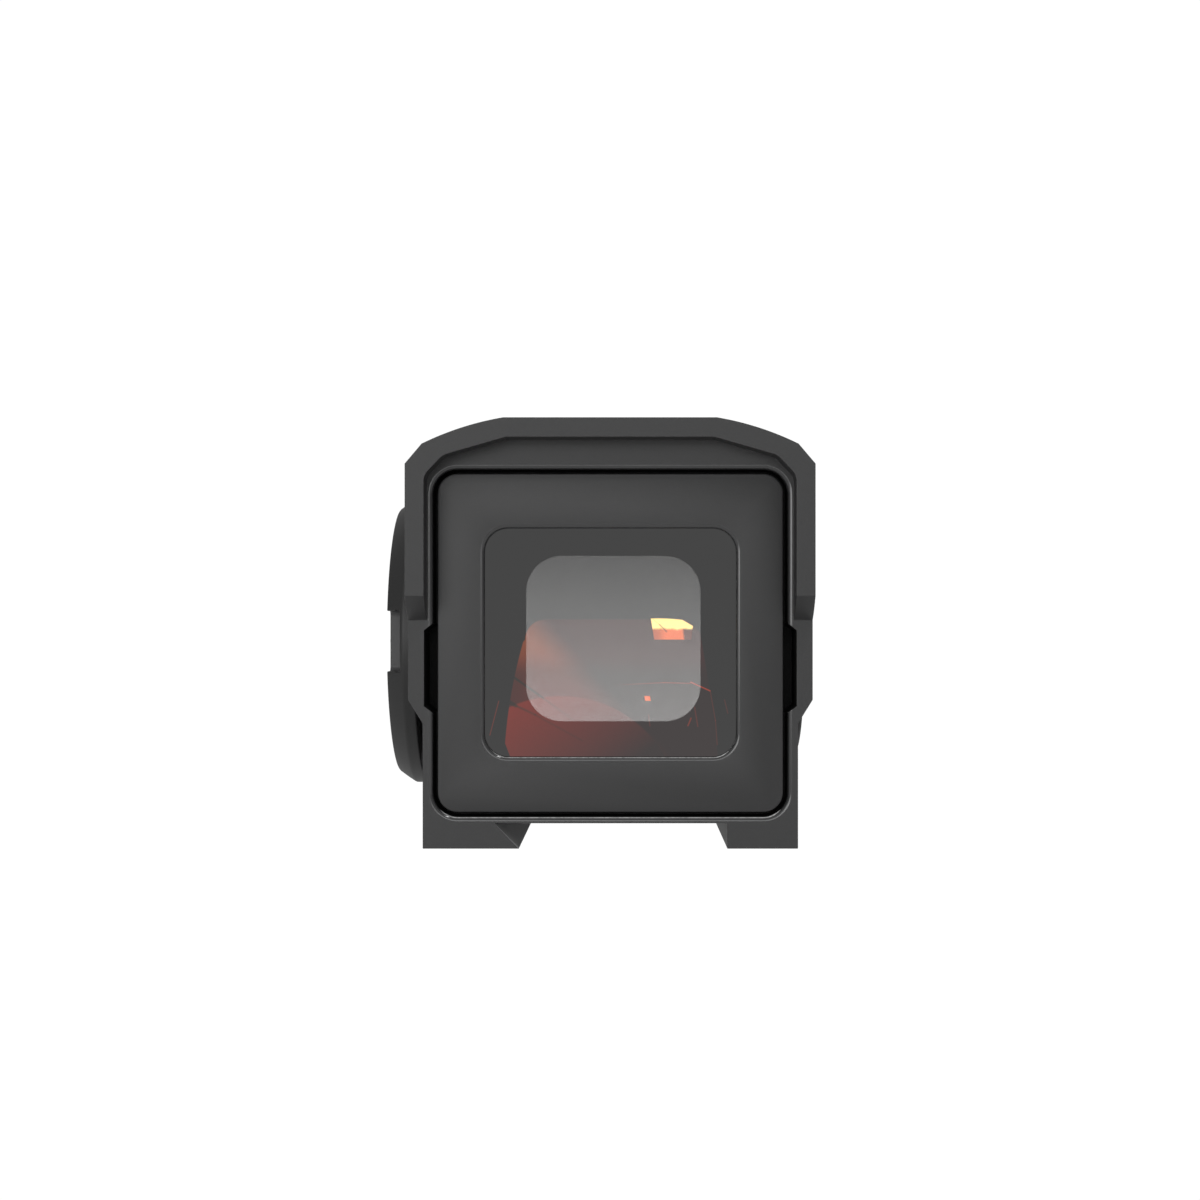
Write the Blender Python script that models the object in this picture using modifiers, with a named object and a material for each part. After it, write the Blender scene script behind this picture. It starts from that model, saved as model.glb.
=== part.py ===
"""Enclosed red dot finder with a side battery and brightness dial and a clamp base for a
21.2 mm accessory rail. Metres, +Z up. X is across, Y runs from the eye end (-Y) to the
target end (+Y), and the origin is the middle of the rail seat, the roof of the clamp channel.
The dial and battery are on the -X side, the windage adjuster and the jaw on the +X side.
All sizes below are in millimetres; the building blocks convert them to metres.
"""

import math

import bmesh
import bpy
from mathutils import Matrix, Vector

MM = 0.001
GAP = 0.3  # clearance between neighbouring pieces

# Body envelope
HALF_WIDTH, FOOT_HALF_WIDTH = 20.56, 19.07
BODY_REAR, BODY_FRONT = -23.0, 23.0
ENDS = (("rear", BODY_REAR, -1), ("front", BODY_FRONT, 1))  # name, face y, outward sign
TOP_Z, SHOULDER_Z = 40.93, 36.3
FOOT_Z = -2.58
SKIRT_Z, SKIRT_LOW_Z = 12.54, 10.14

# Hood: a thin brow over the top and upper sides at each end
HOOD_REACH, HOOD_OVERLAP = 3.0, 0.6
HOOD_LOW_Z, HOOD_EDGE_Z = 20.64, 23.04
SLOPE_HOLLOW = 0.22
# Half of the brow's inner line, (x, z) from its low end to the top
BROW_INNER = [
    (18.65, HOOD_LOW_Z), (18.65, 34.7), (18.35, 35.3), (17.1, 36.8),
    (16.5, 37.2), (10.8, 38.93), (10.3, 39.0),
]

# Rail channel
HOOK_ROOT_X, HOOK_TIP_X = -11.78, -9.28
SEAT_LEFT_X, SEAT_END_Y, SEAT_RELIEF = -9.4, 21.6, 0.3
END_RELIEF_WIDTH = 0.7
PLAIN_WALL_X = 11.87

# Dial, battery and windage adjuster share one cross axis
AXIS_Z = 18.4
ADJUST_Y = 3.0  # middle of the dial and of both adjusters
DIAL_CENTRE = (0, ADJUST_Y, AXIS_Z)
CROSS_AXIS = (ADJUST_Y, AXIS_Z)

# Plates, pockets and openings: half width, low z, high z, corner radius, corner steps
PLATE = (17.54, 1.15, 35.5, 2.0)
POCKET = (18.05, 0.63, 35.96, 2.5)
TUNNEL = (16.3, 3.2, 33.2, 0.3, 2)
WINDOW = (12.82, 6.72, 30.0, 2.4)
WINDOW_GLASS = (13.95, 5.55, 31.15, 1.3, 3)
GLASS_SEAT = (14.2, 5.3, 31.4, 1.5, 3)
REAR_SEAL_OUTER = (17.3, 2.0, 34.9, 1.8, 3)
REAR_SEAL_INNER = (16.5, 2.9, 34.0, 1.2, 3)
LENS_X, LENS_Z0, LENS_Z1, LENS_R = 16.9, 2.7, 33.3, 1.3
LENS = (LENS_X, LENS_Z0, LENS_Z1, LENS_R, 3)
LENS_POCKET = (LENS_X + GAP, LENS_Z0 - GAP, LENS_Z1 + GAP, LENS_R + GAP, 3)
APERTURE = (10.89, 8.09, 28.74, 4.45, 8)
FLARE = (12.6, 6.4, 30.4, 4.0, 8)
FRONT_SEAL_OUTER = (17.05, 2.55, 33.45, 1.4, 3)
FRONT_SEAL_INNER = (16.5, 3.1, 32.9, 1.0, 3)

LEDGE_Y = -19.8  # floor of the rear pocket
FRONT_WALL_Y = 20.3  # inner end of the front bezel's step

# Dial, heights measured from x = 0 towards -X
DIAL_FACE, DIAL_EDGE, DIAL_BACK = 24.11, 22.3, 21.0
DIAL_R, DIAL_FACE_R = 16.29, 15.07
DIAL_MOUTH_R, DIAL_HOLE_R, DIAL_STEP = 10.9, 10.1, 22.0
BOSS_R, INNER_BOSS_R = 13.0, 11.0
NECK_R, NECK_TOP, BORE_R = 9.7, 22.9, 8.75
CLIP_GROOVE_R, CLIP_GROOVE = 9.35, (22.6, 22.1)
ORING_GROOVE_R, ORING_GROOVE = 9.3, (21.85, 21.05)
DETENT_R, DETENTS, DETENT_PHASE = 12.05, 12, math.radians(0.9)
NOTCHES, NOTCH_WIDTH, NOTCH_FLOOR, NOTCH_X = 3, 6.5, 11.7, -22.6

# Adjusters
HEAD_R, HEAD_CHAMFER, STEM_R, TIP_R, TIP_TAPER = 4.8, 0.3, 1.6, 1.2, 0.4
HEAD_SEAT_R, STEM_BORE_R = 5.2, 1.85
BLADE_HALF_LENGTH, BLADE_HALF_WIDTH = 4.0, 0.5
RETURN_SPRING_X = 9.0

# Circuit board
BOARD_Y, BOARD_Z = (-18.5, -5.0), (7.0, 29.0)
BOARD_SCREW_Y = sum(BOARD_Y) / 2
BOARD_SCREW_INSET = 2.0
BOARD_SCREW_Z = (BOARD_Z[0] + BOARD_SCREW_INSET, BOARD_Z[1] - BOARD_SCREW_INSET)

# Clamp
BOLT_Y, BOLT_Z, BOLT_R = 8.0, -0.2, 1.25
BOLT_AXIS = (BOLT_Y, BOLT_Z)
JAW_Y0, JAW_Y1 = 1.0, 15.0
JAW_TRAVEL, JAW_CLEARANCE = 2.4, 0.2

# Recoil lug, under the front of the seat
LUG_X, LUG_Y0, LUG_Y1, LUG_Z0, LUG_Z1 = 7.0, 15.7, 17.9, -2.4, 1.3
LUG_AXIS = (0, (LUG_Y0 + LUG_Y1) / 2)

# Turned about X or Z: name, centre, major radius, minor radius, facing, steps round
ORINGS = (
    ("dial_oring", (-sum(ORING_GROOVE) / 2, ADJUST_Y, AXIS_Z), 9.68, 0.3, "-X", 36),
    ("battery_cap_oring", (-23.12, ADJUST_Y, AXIS_Z), 9.2, 0.2, "-X", 36),
    ("elevation_oring", (0, ADJUST_Y, 39.0), 2.2, 0.33, "+Z", 20),
    ("windage_oring", (19.35, ADJUST_Y, AXIS_Z), 2.2, 0.3, "+X", 20),
)

# name, base, direction, radii at base and end, wire radius, length, turns, points per turn
SPRINGS = (
    ("detent_spring", (-18.1, ADJUST_Y, AXIS_Z + DETENT_R), (-1, 0, 0),
     (0.5, 0.5), 0.12, 1.8, 5, 8),
    ("cap_contact_spring", (-22.9, ADJUST_Y, AXIS_Z), (1, 0, 0), (5.6, 3.4), 0.25, 2.1, 3, 16),
    ("elevation_return_spring", (RETURN_SPRING_X, ADJUST_Y, 1.35), (0, 0, 1),
     (1.1, 1.1), 0.18, 2.15, 3, 9),
    ("windage_return_spring", (-16.1, ADJUST_Y, 4.2), (1, 0, 0), (0.6, 0.6), 0.12, 3.9, 6, 7),
    ("jaw_spring", (12.25, BOLT_Y, BOLT_Z), (1, 0, 0), (1.62, 1.62), 0.15, 3.5, 4, 10),
)

# Colour, roughness, metallic and, for glass, alpha
RUBBER = ((0.012, 0.012, 0.012), 0.8, 0.0)
SPRING_STEEL = ((0.5, 0.5, 0.52), 0.25, 1.0)
SCREW_STEEL = ((0.5, 0.5, 0.52), 0.3, 1.0)
ADJUSTER_BLACK = ((0.03, 0.03, 0.03), 0.4, 0.6)
BODY_BLACK = (0.035, 0.035, 0.036)

# Piece: material name, then colour, roughness, metallic and alpha as above
FINISHES = {
    "housing": ("anodised_aluminium_black", BODY_BLACK, 0.5, 0.3),
    "rear_bezel": ("bezel_black", BODY_BLACK, 0.45, 0.3),
    "rear_window": ("window_glass", (0.8, 0.85, 0.84), 0.02, 0.0, 0.25),
    "rear_seal": ("seal_rubber", *RUBBER),
    "front_bezel": ("front_bezel_black", (0.045, 0.045, 0.046), 0.5, 0.2),
    "objective_lens": ("coated_lens", (0.55, 0.25, 0.15), 0.02, 0.0, 0.35),
    "front_seal": ("front_seal_rubber", *RUBBER),
    "brightness_dial": ("dial_black", (0.035, 0.034, 0.033), 0.5, 0.25),
    "dial_oring": ("dial_oring_rubber", *RUBBER),
    "dial_retaining_ring": ("spring_steel", (0.35, 0.35, 0.36), 0.35, 1.0),
    "dial_wiper": ("wiper_bronze", (0.6, 0.36, 0.16), 0.3, 1.0),
    "switch_ring": ("switch_board_green", (0.02, 0.12, 0.05), 0.4, 0.0),
    "detent_ball": ("ball_steel", (0.6, 0.6, 0.62), 0.15, 1.0),
    "detent_spring": ("detent_spring_steel", *SPRING_STEEL),
    "battery_cap": ("battery_cap_black", (0.035, 0.034, 0.034), 0.45, 0.3),
    "battery_cap_oring": ("cap_oring_rubber", *RUBBER),
    "cap_contact_spring": ("contact_spring_nickel", (0.65, 0.62, 0.55), 0.25, 1.0),
    "battery": ("cell_steel", (0.62, 0.62, 0.63), 0.25, 1.0),
    "battery_sleeve": ("sleeve_plastic", (0.02, 0.02, 0.022), 0.55, 0.0),
    "negative_contact": ("contact_gold", (0.75, 0.55, 0.25), 0.25, 1.0),
    "elevation_screw": ("adjuster_black", *ADJUSTER_BLACK),
    "elevation_oring": ("elevation_oring_rubber", *RUBBER),
    "windage_screw": ("windage_black", *ADJUSTER_BLACK),
    "windage_oring": ("windage_oring_rubber", *RUBBER),
    "elevation_shoe": ("shoe_brass", (0.6, 0.42, 0.18), 0.35, 1.0),
    "emitter_carriage": ("carriage_steel", (0.16, 0.16, 0.17), 0.4, 1.0),
    "emitter_holder": ("holder_plastic", (0.015, 0.015, 0.016), 0.5, 0.0),
    "led_emitter": ("led_red", (0.8, 0.08, 0.02), 0.2, 0.0),
    "elevation_return_spring": ("return_spring_steel", *SPRING_STEEL),
    "windage_return_spring": ("side_spring_steel", *SPRING_STEEL),
    "circuit_board": ("board_green", (0.015, 0.09, 0.04), 0.4, 0.0),
    "controller_chip": ("chip_epoxy", (0.012, 0.012, 0.013), 0.45, 0.0),
    "board_screw_lower": ("board_screw_lower_steel", *SCREW_STEEL),
    "board_screw_upper": ("board_screw_upper_steel", *SCREW_STEEL),
    "led_flex_cable": ("flex_amber", (0.45, 0.2, 0.03), 0.35, 0.0),
    "battery_lead": ("lead_red", (0.35, 0.02, 0.015), 0.45, 0.0),
    "clamp_jaw": ("jaw_steel_black", (0.03, 0.03, 0.031), 0.45, 0.5),
    "clamp_bolt": ("bolt_steel_black", (0.06, 0.06, 0.062), 0.35, 1.0),
    "jaw_spring": ("jaw_spring_steel", *SPRING_STEEL),
    "recoil_lug": ("lug_steel", (0.12, 0.12, 0.125), 0.4, 1.0),
    "lug_screw": ("lug_screw_steel", (0.4, 0.4, 0.42), 0.3, 1.0),
}

for old in list(bpy.data.objects):
    bpy.data.objects.remove(old, do_unlink=True)

scene = bpy.context.scene
scene.unit_settings.system = "METRIC"
scene.unit_settings.scale_length = 1.0

parts = bpy.data.collections.new("red_dot_finder")
cutters = bpy.data.collections.new("cutters")  # every shape used by a boolean
scene.collection.children.link(parts)
scene.collection.children.link(cutters)


# ---------------------------------------------------------------- outlines
def around(middle, half):
    return (middle - half, middle + half)


def arch(half):
    """The half outline (x >= 0, low to top) followed by its mirror image, top to low."""
    return half + [(-x, z) for x, z in reversed(half)]


def rounded(half_width, low, high, radius, corner_steps=6):
    """A rectangle with round corners, centred on x = 0."""
    inset = half_width - radius
    points = []
    for centre_x, centre_z, start in (
        (inset, low + radius, -90),
        (inset, high - radius, 0),
        (-inset, high - radius, 90),
        (-inset, low + radius, 180),
    ):
        for i in range(corner_steps + 1):
            angle = math.radians(start + 90 * i / corner_steps)
            points.append(
                (centre_x + radius * math.cos(angle), centre_z + radius * math.sin(angle))
            )
    return points


def arc_through(first, middle, last, steps):
    """Points from first to last on the circle through all three."""
    (x1, y1), (x2, y2), (x3, y3) = first, middle, last
    square1, square2, square3 = x1**2 + y1**2, x2**2 + y2**2, x3**2 + y3**2
    scale = 2 * (x1 * (y2 - y3) + x2 * (y3 - y1) + x3 * (y1 - y2))
    centre_x = (square1 * (y2 - y3) + square2 * (y3 - y1) + square3 * (y1 - y2)) / scale
    centre_y = (square1 * (x3 - x2) + square2 * (x1 - x3) + square3 * (x2 - x1)) / scale
    radius = math.hypot(x1 - centre_x, y1 - centre_y)
    start = math.atan2(y1 - centre_y, x1 - centre_x)
    end = math.atan2(y3 - centre_y, x3 - centre_x)
    angles = [start + (end - start) * i / steps for i in range(steps + 1)]
    return [(centre_x + radius * math.cos(a), centre_y + radius * math.sin(a)) for a in angles]


# ---------------------------------------------------------------- building blocks
def place(obj, collection):
    for owner in list(obj.users_collection):
        owner.objects.unlink(obj)
    collection.objects.link(obj)
    if collection is cutters:
        obj.hide_render = True
        obj.display_type = "WIRE"
    return obj


def take_primitive(name, collection=parts):
    """Name and place the primitive that was just added."""
    obj = bpy.context.object
    obj.name = name
    obj.data.name = name
    return place(obj, collection)


def block(name, x, y, z, collection=parts, bevel=0.0, origin=None):
    """A box by its spans, with its origin at its middle or where asked."""
    bpy.ops.mesh.primitive_cube_add(size=1.0)
    obj = take_primitive(name, collection)
    middle = Vector([(low + high) / 2 for low, high in (x, y, z)])
    home = Vector(origin) if origin else middle
    size = Matrix.Diagonal([(high - low) * MM for low, high in (x, y, z)] + [1.0])
    obj.data.transform(Matrix.Translation((middle - home) * MM) @ size)
    obj.location = home * MM
    if bevel:
        rounding = obj.modifiers.new("edges", "BEVEL")
        rounding.width = bevel * MM
        rounding.segments = 2
        rounding.limit_method = "ANGLE"
    return obj


def rod(name, axis, span, radius, at, sides):
    """A helper cylinder along X (at is y, z) or along Z (at is x, y)."""
    start, end = span
    bpy.ops.mesh.primitive_cylinder_add(
        vertices=sides, radius=radius * MM, depth=abs(end - start) * MM
    )
    obj = take_primitive(name, cutters)
    middle = (start + end) / 2
    if axis == "X":
        obj.location = Vector((middle, *at)) * MM
        obj.rotation_euler = (0, math.copysign(math.pi / 2, end - start), 0)
    else:
        obj.location = Vector((*at, middle)) * MM
    return obj


TURN = {"+Z": (0, 0, 0), "-X": (0, -math.pi / 2, 0), "+X": (0, math.pi / 2, 0)}


def turned(name, profile, steps, home=DIAL_CENTRE, facing="-X", ring=False, collection=parts):
    """A turned piece. The profile is (radius, height), outer side top to bottom, and its
    height runs towards the side the piece faces. A ring's profile is a closed loop."""
    points = [(radius * MM, 0.0, height * MM) for radius, height in profile]
    edges = [(i, i + 1) for i in range(len(points) - 1)]
    if ring:
        edges.append((len(points) - 1, 0))
    mesh = bpy.data.meshes.new(name)
    mesh.from_pydata(points, edges, [])
    obj = bpy.data.objects.new(name, mesh)
    spin = obj.modifiers.new("turn", "SCREW")
    spin.axis = "Z"
    spin.angle = 2 * math.pi
    spin.steps = steps
    spin.render_steps = steps
    spin.use_merge_vertices = True
    spin.merge_threshold = 1e-6
    spin.use_smooth_shade = False
    obj.location = Vector(home) * MM
    obj.rotation_euler = TURN[facing]
    return place(obj, collection)


def flat_ring(name, inner, outer, top, bottom, steps, collection=parts):
    """A ring of rectangular section about the dial's axis, top towards -X."""
    profile = [(inner, top), (outer, top), (outer, bottom), (inner, bottom)]
    return turned(name, profile, steps, ring=True, collection=collection)


LIE = {
    "Y": Matrix.Rotation(math.pi / 2, 4, "X"),
    "X": Matrix(((0, 0, 1, 0), (1, 0, 0, 0), (0, 1, 0, 0), (0, 0, 0, 1))),
}


def add_spline(curve, points, cyclic=False):
    spline = curve.splines.new("POLY")
    spline.points.add(len(points) - 1)
    for point, place_at in zip(spline.points, points):
        point.co = (*[value * MM for value in place_at], 1)
    spline.use_cyclic_u = cyclic


def slab(name, outline, span, collection=parts, along="Y", hole=None):
    """A flat outline given thickness along Y (outline in X, Z) or X (outline in Y, Z),
    then made a mesh with its caps welded."""
    low, high = span
    curve = bpy.data.curves.new(name, "CURVE")
    curve.dimensions = "2D"
    curve.fill_mode = "BOTH"
    curve.extrude = (high - low) / 2 * MM
    for loop in [outline, hole] if hole else [outline]:
        add_spline(curve, [(u, v, 0) for u, v in loop], cyclic=True)
    guide = bpy.data.objects.new(name + "_outline", curve)
    scene.collection.objects.link(guide)
    bpy.context.view_layer.update()
    graph = bpy.context.evaluated_depsgraph_get()
    mesh = bpy.data.meshes.new_from_object(guide.evaluated_get(graph))
    bpy.data.objects.remove(guide, do_unlink=True)
    shape = bmesh.new()
    shape.from_mesh(mesh)
    bmesh.ops.remove_doubles(shape, verts=shape.verts, dist=1e-7)
    shape.to_mesh(mesh)
    shape.free()
    mesh.name = name
    obj = bpy.data.objects.new(name, mesh)
    middle = (low + high) / 2 * MM
    offset = (middle, 0, 0) if along == "X" else (0, middle, 0)
    obj.matrix_world = Matrix.Translation(offset) @ LIE[along]
    return place(obj, collection)


def wire(name, points, radius, resolution):
    """A round wire through the points."""
    curve = bpy.data.curves.new(name, "CURVE")
    curve.dimensions = "3D"
    curve.bevel_depth = radius * MM
    curve.bevel_resolution = resolution
    curve.use_fill_caps = True
    add_spline(curve, points)
    return place(bpy.data.objects.new(name, curve), parts)


def coil(name, base, direction, radii, wire_radius, length, turns, per_turn):
    """A compression spring as one wire of constant pitch, straight or tapered."""
    count = turns * per_turn
    points = []
    for i in range(count + 1):
        t = i / count
        angle = 2 * math.pi * turns * t
        radius = radii[0] + (radii[1] - radii[0]) * t
        height = wire_radius + (length - 2 * wire_radius) * t
        points.append((radius * math.cos(angle), radius * math.sin(angle), height))
    obj = wire(name, points, wire_radius, resolution=1)
    obj.location = Vector(base) * MM
    obj.rotation_mode = "QUATERNION"
    obj.rotation_quaternion = Vector(direction).to_track_quat("Z", "Y")


def oring(name, centre, major, minor, facing, steps):
    bpy.ops.mesh.primitive_torus_add(
        major_radius=major * MM, minor_radius=minor * MM, major_segments=steps, minor_segments=6
    )
    obj = take_primitive(name)
    obj.location = Vector(centre) * MM
    obj.rotation_euler = TURN[facing]


def boolean(target, others, operation):
    for other in others:
        modifier = target.modifiers.new(f"{operation.lower()}_{other.name}", "BOOLEAN")
        modifier.operation = operation
        modifier.solver = "EXACT"
        modifier.object = other


def cut(target, *others):
    boolean(target, others, "DIFFERENCE")


def join(target, *others):
    boolean(target, others, "UNION")


# ---------------------------------------------------------------- housing
def build_housing():
    """The housing. The order of its booleans matters: each step cuts into the last."""
    crown = arc_through((18.86, 38.3), (15.0, 39.87), (10.7, TOP_Z), 7)
    foot = [
        (-FOOT_HALF_WIDTH, FOOT_Z),
        (HOOK_TIP_X, FOOT_Z),
        (HOOK_ROOT_X, 0.0),
        (PLAIN_WALL_X, 0.0),
        (PLAIN_WALL_X, FOOT_Z),
        (FOOT_HALF_WIDTH, FOOT_Z),
        (FOOT_HALF_WIDTH, SKIRT_LOW_Z),
    ]
    upper = arch([(HALF_WIDTH, SKIRT_Z), (HALF_WIDTH, SHOULDER_Z)] + crown)
    section = foot + upper + [(-FOOT_HALF_WIDTH, SKIRT_LOW_Z)]
    housing = slab("housing", section, (BODY_REAR, BODY_FRONT))
    add_brows(housing, crown)
    add_dial_bosses(housing)
    cut_tunnel(housing)
    cut_clip_pockets(housing)
    cut_battery_well(housing)
    cut_adjuster_seats(housing)
    cut_seat_reliefs(housing)
    cut_clamp_and_screw_holes(housing)


def add_brows(housing, crown):
    outer = [(HALF_WIDTH, HOOD_LOW_Z), (HALF_WIDTH, SHOULDER_Z)] + crown
    brow = arch(outer) + arch(BROW_INNER)[::-1]
    for end, face, outward in ENDS:
        span = sorted((face - outward * HOOD_OVERLAP, face + outward * HOOD_REACH))
        join(housing, slab(f"brow_{end}", brow, span, cutters))
    for end, face, outward in ENDS:
        cut(housing, brow_slope(f"slope_{end}", face, outward))


def brow_slope(name, face, outward):
    """The slightly hollow slope under a brow, from the body face out to its edge."""
    rise = HOOD_EDGE_Z - HOOD_LOW_Z
    hollow = [
        (
            face + outward * HOOD_REACH * t,
            HOOD_LOW_Z + rise * t - SLOPE_HOLLOW * math.sin(math.pi * t),
        )
        for t in (0.0, 0.2, 0.4, 0.6, 0.8, 1.0)
    ]
    beyond = face + outward * (HOOD_REACH + 0.5)
    below = HOOD_LOW_Z - 1.0
    profile = hollow + [(beyond, HOOD_EDGE_Z + 0.4), (beyond, below), (face, below)]
    return slab(name, profile, (-22.0, 22.0), cutters, along="X")


def add_dial_bosses(housing):
    """Round bosses under the dial and round the windage adjuster, and the dial's neck."""
    clip_top, clip_bottom = CLIP_GROOVE
    oring_top, oring_bottom = ORING_GROOVE
    neck_profile = [
        (0.0, NECK_TOP), (NECK_R, NECK_TOP),
        (NECK_R, clip_top), (CLIP_GROOVE_R, clip_top),
        (CLIP_GROOVE_R, clip_bottom), (NECK_R, clip_bottom),
        (NECK_R, oring_top), (ORING_GROOVE_R, oring_top),
        (ORING_GROOVE_R, oring_bottom), (NECK_R, oring_bottom),
        (NECK_R, 20.0), (0.0, 20.0),
    ]
    join(
        housing,
        rod("boss_left", "X", (-17.0, -20.8), BOSS_R, CROSS_AXIS, 52),
        rod("boss_right", "X", (17.0, 21.0), BOSS_R, CROSS_AXIS, 52),
        turned("neck", neck_profile, 46, collection=cutters),
    )


def cut_tunnel(housing):
    """The tunnel right through, and the stepped pockets at both ends."""
    cut(
        housing,
        slab("tunnel", rounded(*TUNNEL), (LEDGE_Y - 1.0, 17.5), cutters),
        slab("rear_pocket", rounded(*POCKET), (BODY_REAR - 0.8, LEDGE_Y), cutters),
        slab("front_pocket", rounded(*POCKET), (20.6, BODY_FRONT + 0.8), cutters),
        slab("lens_pocket", rounded(*LENS_POCKET), (16.9, 20.9), cutters),
    )


def cut_clip_pockets(housing):
    """A bevelled pocket on each side of each bezel, where a lens cover clips on."""
    # (distance from x = 0, z)
    profile = (
        (17.6, 11.2), (18.05, 11.2), (18.93, 11.9), (18.93, 19.6), (18.05, 20.3), (17.6, 20.3),
    )
    spans = (("rear", (BODY_REAR - 0.7, -17.5)), ("front", (18.5, BODY_FRONT + 0.7)))
    for end, span in spans:
        for side, sign in (("left", -1), ("right", 1)):
            outline = [(sign * x, z) for x, z in profile]
            cut(housing, slab(f"clip_{end}_{side}", outline, span, cutters))


def cut_battery_well(housing):
    """The battery well with its inner wall, and the seats round it."""
    detent_at = (ADJUST_Y, AXIS_Z + DETENT_R)
    join(housing, rod("inner_boss", "X", (-15.6, -17.4), INNER_BOSS_R, CROSS_AXIS, 48))
    cut(
        housing,
        rod("well", "X", (-16.3, -24.5), BORE_R, CROSS_AXIS, 48),
        rod("lead_hole", "X", (-15.0, -17.0), 0.8, CROSS_AXIS, 16),
        flat_ring("switch_groove", 9.95, 11.05, 21.3, 20.15, 44, cutters),
        rod("detent_hole", "X", (-18.0, -21.2), 0.9, detent_at, 20),
    )


def cut_adjuster_seats(housing):
    above = (0, ADJUST_Y)
    pocket_half = 3.4
    cut(
        housing,
        block("shoe_pocket", around(0, pocket_half), around(ADJUST_Y, pocket_half),
              (32.6, 34.1), cutters),
        rod("windage_seat", "X", (19.0, 21.6), HEAD_SEAT_R, CROSS_AXIS, 40),
        rod("windage_bore", "X", (15.0, 19.4), STEM_BORE_R, CROSS_AXIS, 24),
        rod("elevation_seat", "Z", (38.6, 41.6), HEAD_SEAT_R, above, 40),
        rod("elevation_bore", "Z", (33.0, 39.0), STEM_BORE_R, above, 24),
        rod("spring_well", "Z", (1.2, 3.6), 1.6, (RETURN_SPRING_X, ADJUST_Y), 24),
    )


def cut_seat_reliefs(housing):
    """The seat is a raised land: a relief along the hook's root and one across each end."""
    profile = [
        (-12.1, SEAT_RELIEF), (SEAT_LEFT_X, SEAT_RELIEF), (SEAT_LEFT_X, -0.2), (-11.6, -0.2),
    ]
    hook_relief = slab("hook_relief", profile, (-SEAT_END_Y, SEAT_END_Y), cutters)
    across = (SEAT_LEFT_X - 0.4, PLAIN_WALL_X - 0.3)
    height = (-0.4, SEAT_RELIEF)
    inner_y = SEAT_END_Y - END_RELIEF_WIDTH
    join(
        hook_relief,
        block("rear_relief", across, (-SEAT_END_Y, -inner_y), height, cutters),
        block("front_relief", across, (inner_y, SEAT_END_Y), height, cutters),
    )
    cut(housing, hook_relief)


def cut_clamp_and_screw_holes(housing):
    cut(
        housing,
        rod("bolt_bore", "X", (-17.5, 20.5), BOLT_R + 0.25, BOLT_AXIS, 24),
        block("jaw_slot", (PLAIN_WALL_X - 0.5, 21.5), (JAW_Y0 - GAP, JAW_Y1 + GAP),
              (-3.6, 2.5), cutters),
        block("lug_slot", around(0, LUG_X + GAP), (LUG_Y0 - GAP, LUG_Y1 + GAP),
              (-0.5, LUG_Z1 + GAP), cutters),
        rod("lug_bore", "Z", (1.0, 2.7), 0.95, LUG_AXIS, 16),
    )
    for number, z in enumerate(BOARD_SCREW_Z, 1):
        cut(housing, rod(f"board_bore_{number}", "X", (15.9, 18.0), 0.7, (BOARD_SCREW_Y, z), 16))


# ---------------------------------------------------------------- rear and front glass
def build_rear_window():
    bezel = slab("rear_bezel", rounded(*PLATE), (BODY_REAR, -20.6))
    cut(
        bezel,
        slab("window_cut", rounded(*WINDOW), (BODY_REAR - 0.5, -20.0), cutters),
        slab("glass_seat", rounded(*GLASS_SEAT), (-21.9, -20.2), cutters),
    )
    slab("rear_window", rounded(*WINDOW_GLASS), (-21.75, -20.75))
    slab("rear_seal", rounded(*REAR_SEAL_OUTER), (-20.4, -20.0), hole=rounded(*REAR_SEAL_INNER))


def build_front_lens():
    bezel = slab("front_bezel", rounded(*PLATE), (20.9, BODY_FRONT))
    join(bezel, slab("bezel_step", rounded(*LENS), (FRONT_WALL_Y, 21.4), cutters))
    cut(
        bezel,
        slab("aperture_cut", rounded(*APERTURE), (19.5, 24.0), cutters),
        slab("flare_cut", rounded(*FLARE), (21.9, 24.0), cutters),
    )
    slab("objective_lens", rounded(*LENS), (17.7, 20.0))
    slab("front_seal", rounded(*FRONT_SEAL_OUTER), (17.05, 17.5), hole=rounded(*FRONT_SEAL_INNER))


# ---------------------------------------------------------------- brightness dial
def build_dial():
    profile = [
        (DIAL_MOUTH_R, DIAL_FACE),
        (DIAL_FACE_R, DIAL_FACE),
        (DIAL_R, DIAL_EDGE),
        (DIAL_R, DIAL_BACK),
        (DIAL_HOLE_R, DIAL_BACK),
        (DIAL_HOLE_R, DIAL_STEP),
        (DIAL_MOUTH_R, DIAL_STEP),
    ]
    dial = turned("brightness_dial", profile, 60, ring=True)
    cut(dial, flat_ring("ball_track", 11.15, 12.95, 21.75, 20.5, 38, cutters))
    for i in range(NOTCHES):
        notch = block(
            f"notch_{i}", (-25.5, NOTCH_X), (ADJUST_Y - 18.5, ADJUST_Y - NOTCH_FLOOR),
            around(AXIS_Z, NOTCH_WIDTH / 2), cutters, origin=DIAL_CENTRE,
        )
        notch.rotation_euler = (2 * math.pi * i / NOTCHES, 0, 0)
        cut(dial, notch)
    for i in range(DETENTS):
        angle = 2 * math.pi * i / DETENTS + DETENT_PHASE
        at = (ADJUST_Y - DETENT_R * math.sin(angle), AXIS_Z + DETENT_R * math.cos(angle))
        cut(dial, rod(f"pit_{i}", "X", (-21.6, -22.0), 0.6, at, 7))
    cut(dial, block("wiper_seat", (-21.65, -20.5), (12.95, 14.1), (17.1, 19.7), cutters))


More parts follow.
